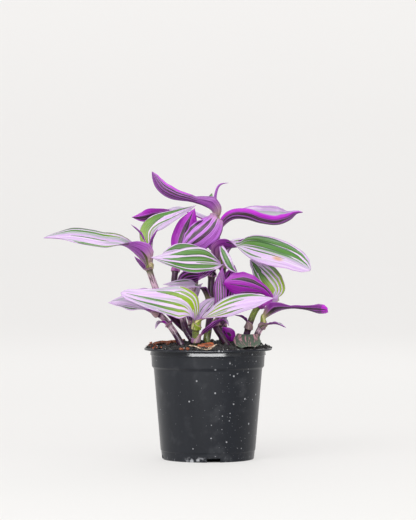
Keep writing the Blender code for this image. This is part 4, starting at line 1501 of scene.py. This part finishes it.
LEAVES = (
    Leaf("a1", "main", 21, (95, 45),
         ((5.5, 1, 199.5, -15), (3.5, 0, 205, -10), (-3, -2, 209.5, -20), (-14, -5, 213.5, -40),
          (-28, -8, 217, -48), (-39, -10, 223.5, -48), (-46, -11, 237, -40)),
         shape=((0, 0.4), (0.08, 0.85), (0.16, 1.1), (0.24, 0.75), (0.34, 0.42), (0.48, 0.52),
                (0.68, 0.66), (0.84, 0.55), (0.94, 0.32), (1, 0.03)),
         bands=((-0.62, -0.6, 0.08, 0.3, 1), (-0.3, -0.32, 0.1, 0.3, 1), (0.05, 0, 0.08, 0, 1),
                (0.4, 0.3, 0.07, 0, 0.95)),
         lit=((-0.94, -0.92, 0.16, 0.4, 1.1),), lime=0.9, glow=0.2, pale=0.35, neck=1, purple=True),
    Leaf("a2", "main", 31, (70, 95),
         ((10.7, 1, 189), (14, -0.5, 193.5, 5), (21, -4, 198, 5), (31, -6.5, 198, -6),
          (44, -8, 195, -20), (58, -9.5, 194, -26), (68, -10, 198, -24), (73, -10, 202.5, -18),
          (78, -10, 203.5, -14)),
         shape=((0, 0.28), (0.1, 0.45), (0.25, 0.68), (0.4, 0.9), (0.58, 1), (0.76, 0.92),
                (0.86, 0.6), (0.93, 0.22), (1, 0.03)), fold=0.15,
         bands=((0.64, 0.62, 0.1, 0.05, 0.95), (0.36, 0.35, 0.09, 0, 0.95),
                (0.1, 0.08, 0.09, 0.1, 0.98), (-0.12, -0.1, 0.06, 0.1, 0.9)),
         lit=((0.95, 0.95, 0.17, 0, 1.1),), glow=0.2, pale=0.1, purple=True),
    Leaf("a3", "main", 6, (60, 50),
         ((7.5, 1.5, 206), (7, 1, 218), (10, 1, 226), (17, 0, 228)), base=0.6, stripes=Stripes.NONE,
         glow=0.3, pale=0.7, neck=0.5, sheath=2, purple=True),
    Leaf("a4", "", 4.4, (40, 30),
         ((0.8, -1.6, 211), (1.8, -1.6, 215), (3.4, -1.6, 219.7)), base=0.8, head=90,
         bands=((0, 0, 1.4, -0.4, 1.6),), lime=1, neck=1),
    Leaf("a5", "rear_left", 21, (62, 30),
         ((-25.5, 6.9, 161), (-23, 7.3, 173), (-19, 7, 186), (-15, 5, 197), (-11, 3, 207)),
         base=0.4, head=-90, peak=0.5,
         bands=((0.15, 0.1, 0.2, 0.1, 0.97), (-0.45, -0.3, 0.05, 0.1, 0.8)), glow=1, pale=0.15,
         neck=0.3, purple=True),
    Leaf("a6", "main", 24, (50, 20),
         ((7, -7, 199), (1, -8, 190), (-9, -7, 181.5), (-20, -5, 174)),
         shape=((0, 0.6), (0.15, 0.85), (0.35, 1), (0.6, 1), (0.8, 0.8), (1, 0.3)), head=90,
         bands=((0.1, 0.08, 0.13, 0, 0.97), (-0.38, -0.36, 0.13, 0.05, 0.95),
                (-0.85, -0.8, 0.1, 0.2, 0.9), (0.95, 0.95, 0.05, 0, 0.8)),
         lit=((0.9, 0.9, 0.2, 0, 0.7),), glow=0.55, pale=0.9, purple=True),
    Leaf("a8", "main", 30, (95, 6),
         ((9.8, 2, 167), (12.5, 0, 171.5, 5), (17.5, -3, 174, 8), (23, -5.5, 175, 4),
          (29, -8, 175.5, -20), (38, -11, 174, -42), (52, -14, 170.5, -46), (70, -17, 164.5, -44),
          (84, -18, 156, -40)),
         shape=((0, 0.5), (0.06, 0.9), (0.14, 0.95), (0.24, 0.86), (0.34, 0.95), (0.5, 1),
                (0.7, 0.95), (0.85, 0.78), (0.94, 0.5), (1, 0.08)), fold=0.05,
         bands=((-0.42, -0.3, 0.2, 0.1, 0.98), (-0.82, -0.68, 0.17, 0.16, 0.98),
                (-0.1, -0.04, 0.06, 0.2, 0.92), (0.16, 0.2, 0.05, 0, 0.75),
                (0.8, 0.4, 0.09, 0.16, 0.5)), lime=0.1, glow=0.35, pale=0.1,
         scar=(0.66, 0.34, 0.042)),
    Leaf("b1", "left", 27, (95, 15),
         ((-51, -16, 160), (-57, -17.5, 167, -8), (-63.5, -19, 173, -4), (-71, -20, 177, 18),
          (-85, -21.5, 178, 30), (-110, -25, 182.5, 30), (-134, -28, 182.5, 10)),
         shape=((0, 0.5), (0.06, 1.1), (0.13, 1.35), (0.2, 1.1), (0.28, 0.78), (0.42, 0.96),
                (0.55, 1), (0.75, 0.82), (0.9, 0.5), (0.96, 0.3), (1, 0.03)),
         bands=((0.72, 0.75, 0.07, 0.3, 0.98), (0.95, 0.95, 0.07, 0.25, 0.98),
                (0.3, 0.2, 0.05, 0.4, 0.8), (-0.8, -0.8, 0.34, 0.24, 0.74), (0, 0, 0.1, -0.2, 0.2),
                (-0.5, -0.5, 0.1, -0.2, 0.15), (0.5, 0.5, 0.1, -0.2, 0.2)), lime=0.8, glow=0.3,
         pale=0.4, neck=0.9, sheath=4),
    Leaf("b2", "left", 18, (55, 30),
         ((-45.8, -10, 165), (-47.4, -7, 176, -10), (-47.5, -4, 187, -30), (-43, -1, 192.5, -38),
          (-29, 5, 199.5, -38), (-10, 11, 209.6, -30)), base=0.38,
         bands=((-0.62, -0.6, 0.4, 0, 0.6), (-0.8, -0.7, 0.2, 0.4, 1), (0.02, 0, 0.08, 0, 0.9),
                (0.4, 0.3, 0.05, 0.05, 0.5)), lime=0.95, sheath=4),
    Leaf("b3", "left", 6, (50, 30),
         ((-52, -22, 180), (-56, -22, 187), (-63, -23, 193.5)), base=0.5,
         stripes=Stripes.CENTRE_BAR, pale=0.5, sheath=2, purple=True),
    Leaf("b4", "left", 6, (50, 30),
         ((-48, -16.5, 174), (-45, -18, 182), (-41, -18, 190)), base=0.6,
         stripes=Stripes.CENTRE_BAR, pale=0.3, sheath=2, purple=True),
    Leaf("b5", "main", 15, (60, 15),
         ((3, 8, 188), (1, 11, 195, 10), (-7, 18, 199.5, 10), (-19, 27, 204.5, 10),
          (-31, 31, 205.5, 8), (-43, 33, 203, -15), (-54, 33, 200, -60), (-64, 32, 200, -70)),
         base=0.4, peak=0.75,
         bands=((0.2, 0.15, 0.42, 0.6, 1.1), (-0.3, -0.2, 0.05, 0.1, 0.6)), glow=0.85, pale=0.1),
    Leaf("b6", "left", 7, (50, 30),
         ((-52.5, -21.5, 157), (-56, -25.5, 162), (-60, -28, 167.5)), base=0.6,
         stripes=Stripes.RIBBED, pale=0.3, sheath=2, purple=True),
    Leaf("c1", "front", 31, (50, 12),
         ((-12.3, -33, 115, 20), (-13.5, -35.5, 121, 40), (-18, -37.5, 126.5, 55),
          (-26, -39.5, 129, 62), (-39, -43, 131, 62), (-55, -46, 134, 62), (-70.5, -47, 138, 60)),
         shape=((0, 0.25), (0.08, 0.6), (0.18, 0.92), (0.3, 1), (0.45, 0.84), (0.6, 0.64),
                (0.8, 0.46), (0.92, 0.32), (0.98, 0.16), (1, 0.04)),
         bands=((0.9, 0.98, 0.07, 0, 0.34), (0.66, 0.8, 0.07, 0, 0.36), (0.42, 0.7, 0.07, 0, 0.42),
                (0.16, 1.2, 0.11, 0.08, 0.6), (-0.14, 0.24, 0.09, 0.16, 0.97),
                (-0.42, -0.45, 0.12, 0.12, 0.95), (-0.85, -0.8, 0.05, 0.1, 0.6)), lime=1, glow=0.2,
         neck=1),
    Leaf("c2", "front", 22, (50, 12),
         ((-4.5, -33.5, 116, -10), (6, -38, 121, -45), (22, -43, 127, -48), (39, -47, 131, -48),
          (53, -49, 134, -48)), base=0.3, peak=0.5,
         bands=((-0.66, -0.85, 0.11, 0.2, 0.95), (-0.42, -0.4, 0.09, 0, 0.62),
                (-0.08, 0, 0.07, 0, 0.5), (0.24, 0.2, 0.06, 0, 0.4), (0.6, 0.4, 0.1, 0.04, 0.62)),
         lime=0.9, glow=0.2, neck=1),
    Leaf("c3", "front", 17, (50, 20),
         ((-6, -26, 118), (0, -17, 127), (8, -10, 134)), base=0.4, stripes=Stripes.SPARSE),
    Leaf("c4", "front", 13, (50, 20),
         ((-5, -30, 103.5), (4, -34.5, 110), (13, -38, 116), (17, -40, 111)), base=0.3,
         stripes=Stripes.RIBBED, glow=0.6, purple=True),
    Leaf("c5", "low_left", 8, (40, 20),
         ((-34.5, -22.5, 112.5), (-39, -24, 113.5), (-43, -26, 108.5)), base=0.5,
         stripes=Stripes.CENTRE_BAR, glow=0.8, purple=True, sheath=3),
    Leaf("e1", "low_left", 20, (50, 15),
         ((-47.5, -26, 122), (-60, -31, 127.5, 35), (-81, -36, 130, 40)), base=0.3,
         bands=((-0.75, -0.7, 0.13, 0.1, 0.9), (-0.35, -0.35, 0.05, 0.3, 0.8)), sheath=4),
    Leaf("e2", "low_left", 16, (50, 15),
         ((-47.5, -17, 125), (-54, -11, 136, 20), (-68, -5, 136, 20)), base=0.3, lime=0.9,
         sheath=4),
    Leaf("f1", "main", 25, (40, 12),
         ((10, -8, 161, 40), (-2, -19, 163, 55), (-22, -27, 163.5, 60), (-40, -31, 165.5, 50),
          (-47, -32, 167, 40)), base=0.2, peak=0.35,
         bands=((0.68, 0.62, 0.2, 0.06, 0.76), (0.2, 0.12, 0.18, 0.04, 0.85),
                (-0.18, 0, 0.05, 0.1, 0.4), (-0.48, -0.35, 0.2, 0.06, 0.96),
                (-0.9, -0.8, 0.13, 0.2, 0.98)), lime=0.1),
    Leaf("f2", "main", 13, (40, 12),
         ((3.5, -3, 168.5, 40), (-5, -6, 170.5, 60), (-20, -11.5, 172, 60), (-32, -15.5, 171, 55),
          (-38, -17, 169, 40)), base=0.2, peak=0.6, stripes=Stripes.HIGH_SIDE_GREEN),
    Leaf("f3", "main", 9, (50, 20),
         ((3, -2, 156), (-1, -9, 156), (-8, -13, 148)), base=0.4, head=90, stripes=Stripes.RIBBED,
         glow=0.7, purple=True),
    Leaf("g1", "", 8, (60, 30),
         ((10.5, -10.8, 175.5, -80), (14, -13.2, 167, -80), (19, -12.5, 158, -80),
          (25, -9, 153, -30)), base=0.5,
         bands=((0, 0, 0.55, 0, 0.95),), lime=0, glow=0.3),
    Leaf("g2", "lean", 11, (60, 30),
         ((9, -27, 119), (10, -27, 134), (10, -25, 147), (12, -22, 159)), base=0.45, head=-90,
         peak=0.5, stripes=Stripes.RIBBED, glow=0.45, purple=True),
    Leaf("g4", "back_right", 14, (60, 30),
         ((16, 24.2, 126), (17.5, 16, 141), (20, 9, 152), (22, 5, 160)), base=0.4, head=-90,
         peak=0.6, stripes=Stripes.RIBBED, glow=0.7, purple=True),
    Leaf("h1", "main", 12, (50, 20),
         ((-2.1, 5.5, 134), (-5, 2, 140), (-12, -8, 143.5, 30), (-25, -13, 144, 50),
          (-37, -15, 144.5, 30)), base=0.7, peak=0.5,
         bands=((0, 0, 0.9, -0.2, 0.4), (0.7, 0.6, 0.1, 0.5, 0.9)), lime=0),
    Leaf("k2", "rear_left", 15, (60, 30),
         ((-23.6, 5.5, 142), (-19, 4.5, 148, 40), (-11, 4, 150, 60), (-3, 3, 151, 60)), base=0.3,
         peak=0.5, stripes=Stripes.RIBBED, glow=0.7, purple=True),
    Leaf("d1", "right_upper", 22, (35, 30),
         ((54.2, -3.6, 135), (54.8, -3.8, 140), (49.7, -3.5, 147.5), (42.8, -1, 156),
          (35, 2, 164.5)),
         shape=((0, 0.4), (0.12, 0.8), (0.28, 1), (0.5, 0.98), (0.7, 0.78), (0.88, 0.45),
                (1, 0.05)), head=100,
         bands=((-0.88, -0.6, 0.14, 0, 0.98), (-0.3, -0.2, 0.3, 0, 0.72),
                (-0.35, -0.1, 0.3, 0.6, 0.98), (0.3, 0.2, 0.08, 0.02, 0.8),
                (0.6, 0.45, 0.09, 0.02, 0.75), (0.92, 0.8, 0.13, 0, 0.7)), lime=1, neck=0.9),
    Leaf("d2", "right_upper", 21, (55, 20),
         ((46, -14.4, 129), (50, -17, 134, -40), (45, -20.5, 139.5, -60), (35, -24.5, 143, -70),
          (24, -28, 145, -75), (13, -30, 146, -70)),
         shape=((0, 0.3), (0.2, 0.32), (0.36, 0.5), (0.52, 0.84), (0.7, 1), (0.88, 0.74),
                (1, 0.14)),
         bands=((-0.55, -0.4, 0.16, 0.1, 0.9), (0.1, 0.1, 0.06, 0.3, 0.9),
                (0.75, 0.6, 0.1, 0.2, 0.7)), glow=0.6, pale=0, neck=0.1, purple=True),
    Leaf("d3", "right_lower", 25, (95, 30),
         ((47.9, -10.5, 117), (54, -11.5, 120.5), (61, -12.5, 123.5, 4), (69, -13.5, 124.8, 8),
          (80, -15, 124, 20), (90, -16, 122.5, 36), (98.3, -17, 122.5, 38)),
         shape=((0, 0.45), (0.1, 0.95), (0.2, 1.2), (0.29, 0.9), (0.42, 0.36), (0.6, 0.36),
                (0.85, 0.56), (0.95, 0.5), (1, 0.25)), stripes=Stripes.SHADED,
         lit=((0, 0, 1.5, 0.9, 1.1),), lime=0.9, glow=0.25, pale=0.1, neck=1, sheath=4,
         purple=True),
    Leaf("d4", "right_lower", 10, (50, 20),
         ((50, -15.5, 111.5), (56, -17.5, 112), (64, -19, 109)), base=0.4, stripes=Stripes.RIBBED,
         purple=True),
    Leaf("d5", "right_upper", 8, (50, 20),
         ((31.4, -7, 114), (27.5, -9, 117.5), (22, -10, 119)), base=0.4, stripes=Stripes.RIBBED,
         purple=True),
    Leaf("m1", "", 11, (60, 20),
         ((20, 2, 97), (17, 0, 103), (12, -2, 109)), base=0.4, head=-90,
         bands=((-0.3, 0.2, 0.2, 0.3, 0.6), (0.4, 0.4, 0.15, 0.55, 0.85)), glow=1, pale=0, neck=0,
         purple=True),
    Leaf("o1", "", 24, (30, -35),
         ((30, -13, 101), (32, -19, 103), (32, -29, 99), (33, -38, 94.5)),
         shape=((0, 0.3), (0.2, 0.75), (0.5, 1), (0.8, 0.9), (1, 0.5)), head=-90, withered=True),
    Leaf("n1", "back", 28, (65, 15),
         ((-12.3, 38, 147), (-13, 42, 157), (-14, 58, 165), (-16, 80, 162), (-18, 96, 148)),
         base=0.3, peak=0.5, stripes=Stripes.BROAD, lime=0.4),
    Leaf("n2", "back", 27, (65, 15),
         ((-9.7, 40, 169), (-8.5, 44, 179), (-6, 58, 186), (-2, 78, 184), (2, 92, 172)), base=0.3,
         peak=0.5, lime=0.5),
    Leaf("n3", "back", 27, (65, 15),
         ((-16.4, 30.5, 113), (-20.5, 34, 122), (-33, 41, 130), (-50, 54, 132), (-66, 66, 127)),
         base=0.3, peak=0.5, stripes=Stripes.EDGES),
    Leaf("n4", "back", 22, (65, 15),
         ((-13, 35, 128), (-14, 40, 136), (-15, 52, 141), (-16, 68, 139), (-17, 82, 129)),
         base=0.36, peak=0.5, stripes=Stripes.LOW_SIDE_GREEN),
    Leaf("p1", "back_right", 26, (65, 15),
         ((15.8, 34, 129), (20, 38, 137), (30, 47, 141.5), (44, 60, 141), (56, 70, 134)), base=0.3,
         peak=0.5, stripes=Stripes.HEART, lime=0.4),
    Leaf("p2", "back_right", 26, (65, 15),
         ((15.4, 35.9, 163), (18.4, 38.7, 173), (31, 45, 178.5), (52, 54, 174), (68, 60, 164)),
         base=0.3, peak=0.5, stripes=Stripes.BROAD, lime=0.5),
    Leaf("p3", "back_right", 22, (65, 15),
         ((12, 32.6, 113), (11.5, 37.5, 122), (10, 54, 128), (10, 72, 126), (11, 84, 117)),
         base=0.36, peak=0.5),
)

CHIPS = (
    BarkChip("a", (-36, 14), (17, 8, 2.0), heading=24, tilt=-9),
    BarkChip("b", (-27, 27), (14, 7, 2.0), heading=-20, tilt=-6),
    BarkChip("c", (-2, -38), (12, 6, 1.8), heading=12, tilt=4),
)


# ---------------------------------------------------------------- plant and studio
@dataclass
class Plant:
    """The rooted cuttings: stems, and the leaves that clasp them."""

    stems: Sequence[Stem]
    leaves: Sequence[Leaf]

    def build(self, mix: PottingMix) -> None:
        """Build every stem and leaf, and report each.

        Args:
            mix: the mix that the stems grow from.
        """
        skin = StemSkin().material()
        sides = (LeafSkin("leaf_upper_skin", False).material(),
                 LeafSkin("leaf_under_skin", True).material())
        dry = (WitheredSkin().material(),)
        held = {stem.name: stem for stem in self.stems}
        for stem in self.stems:
            nodes = [leaf.node_share(stem, mix) for leaf in self.leaves if leaf.on == stem.name]
            LOG.info("built %s", stem.build(mix, nodes, skin).name)
        for leaf in self.leaves:
            finishes = dry if leaf.withered else sides
            LOG.info("built %s", leaf.build(held.get(leaf.on), mix, finishes).name)


@dataclass(frozen=True)
class SoftBox:
    """Soft box of the studio, its place and size in metres and its power in watts."""

    name: str
    place: Point
    size: tuple[float, float]
    power: float
    sheen_only: bool = False

    def hang(self, target: Vector) -> None:
        """Hang the lamp so that it points at a place and the camera doesn't see it.

        Args:
            target: where it points.
        """
        data = bpy.data.lights.new(self.name, "AREA")
        data.shape = "RECTANGLE"
        data.size, data.size_y = self.size
        data.energy = self.power
        item = put(self.name, data)
        item.visible_diffuse = not self.sheen_only
        item.visible_camera = False
        aim(item, self.place, target)


def aim(item: bpy.types.Object, place: Point, target: Vector) -> None:
    """Put a lamp or a camera at a place, looking at another."""
    item.location = place
    item.rotation_euler = (target - item.location).to_track_quat("-Z", "Y").to_euler()


@dataclass
class Studio:
    """Pale seamless floor, soft lights and the camera, in metres."""

    camera_place: Point = (0.0, -2.0, 0.182)
    camera_target: Point = (0.0, 0.0, 0.1643)
    lens: float = 167.5
    sensor: float = 36.0
    sight: float = 50.0
    floor_glow: float = 0.58
    far_lift: float = 0.6
    wall_lift: float = 0.12
    air_glow: float = 0.6
    lit_place: Point = (0.0, 0.0, 0.14)
    sweep: tuple[Point, ...] = ((0.0, 0.0), (3.2, 0.0), (3.7, 0.12), (4.1, 0.45), (4.3, 1.0),
                                (4.35, 4.5))
    lamps: tuple[SoftBox, ...] = (
        SoftBox("key", (-1.0, -1.4, 1.7), (1.1, 1.1), 15.0),
        SoftBox("fill", (1.5, -1.2, 0.9), (1.0, 1.2), 4.0),
        SoftBox("back", (0.4, 1.6, 1.5), (1.6, 0.8), 10.0),
        SoftBox("front_soft", (-0.1, -1.7, 1.15), (1.3, 0.3), 9.0),
        SoftBox("rim_light", (-0.05, -1.7, 0.46), (2.4, 0.26), 70.0, sheen_only=True),
    )

    def camera(self) -> None:
        """Place the camera."""
        data = bpy.data.cameras.new("view")
        data.lens = self.lens
        data.sensor_width = self.sensor
        data.clip_end = self.sight
        item = put("view", data)
        aim(item, self.camera_place, Vector(self.camera_target))
        bpy.context.scene.camera = item

    def floor(self) -> None:
        """Sweep the pale floor up into a backdrop all round, its glow cut just under the pot's foot
        as painted shade.
        """
        graph = Graph("studio_floor")
        place, (x, y, z) = graph.solid_place()
        cloud = graph.noise(place, 1.3, 2.0)
        graph.close(graph.mixed(cloud * 0.1, Tint.FLOOR_PAINT, Tint.SILVER), 0.85 + cloud * 0.1,
                    sheen=0.1)
        middle = graph.number("SQRT", x * x + y * y)
        lift = z.step(0.0, 1.6) + middle.step(0.4, 3.2) * self.far_lift
        # painted shade: the floor's glow fades to nothing under the pot's foot
        glow = middle.step(0.03, 0.0385) * (self.floor_glow + lift * self.wall_lift)
        graph.feed(graph.shader.inputs["Emission Color"], Tint.FLOOR.linear)
        graph.feed(graph.shader.inputs["Emission Strength"], glow)
        mesh = turned_mesh("studio_floor", self.sweep, steps=64, weld=False)
        mesh.materials.append(graph.material)
        mesh.shade_smooth()
        put("studio_floor", mesh)

    def build(self) -> None:
        """Set up the floor, the camera, the air and the lamps."""
        self.floor()
        self.camera()
        world = bpy.data.worlds.new("studio_air")
        world.use_nodes = True
        air = world.node_tree.nodes["Background"].inputs
        air["Color"].default_value = (1.0, 1.0, 1.0, 1.0)
        air["Strength"].default_value = self.air_glow
        bpy.context.scene.world = world
        for lamp in self.lamps:
            lamp.hang(Vector(self.lit_place))
        bpy.context.scene.view_settings.view_transform = "Standard"


def main() -> None:
    """Build the studio, the pot, the mix, the bark and the plant, in that order."""
    logging.basicConfig(level=logging.INFO, format="%(message)s")
    Studio().build()
    pot = NurseryPot().build(PotPlastic().material())
    LOG.info("built %s", pot.name)
    mix = PottingMix()
    peat = GroundFinish("peat", Tint.PEAT, Tint.PEAT_BROWN, scale=300.0, roughness=0.75)
    grit = GroundFinish("perlite", Tint.PERLITE, Tint.SILVER, scale=500.0, roughness=0.7)
    fibre = GroundFinish("bark_chip", Tint.BARK_ORANGE, Tint.BARK_DARK, scale=420.0,
                         roughness=0.6, stretch=4.0)
    paper = GroundFinish("dry_leaf_sheath", Tint.PAPER, Tint.PAPER_BROWN, scale=240.0,
                         roughness=0.55)
    bark = fibre.material()
    mix.build(peat.material(), grit.material(), bark)
    LOG.info("built the potting mix")
    for chip in CHIPS:
        LOG.info("built %s", chip.build(mix, bark).name)
    LOG.info("built %s", DrySheath().build(paper.material()).name)
    Plant(STEMS, LEAVES).build(mix)


if __name__ == "__main__":
    main()
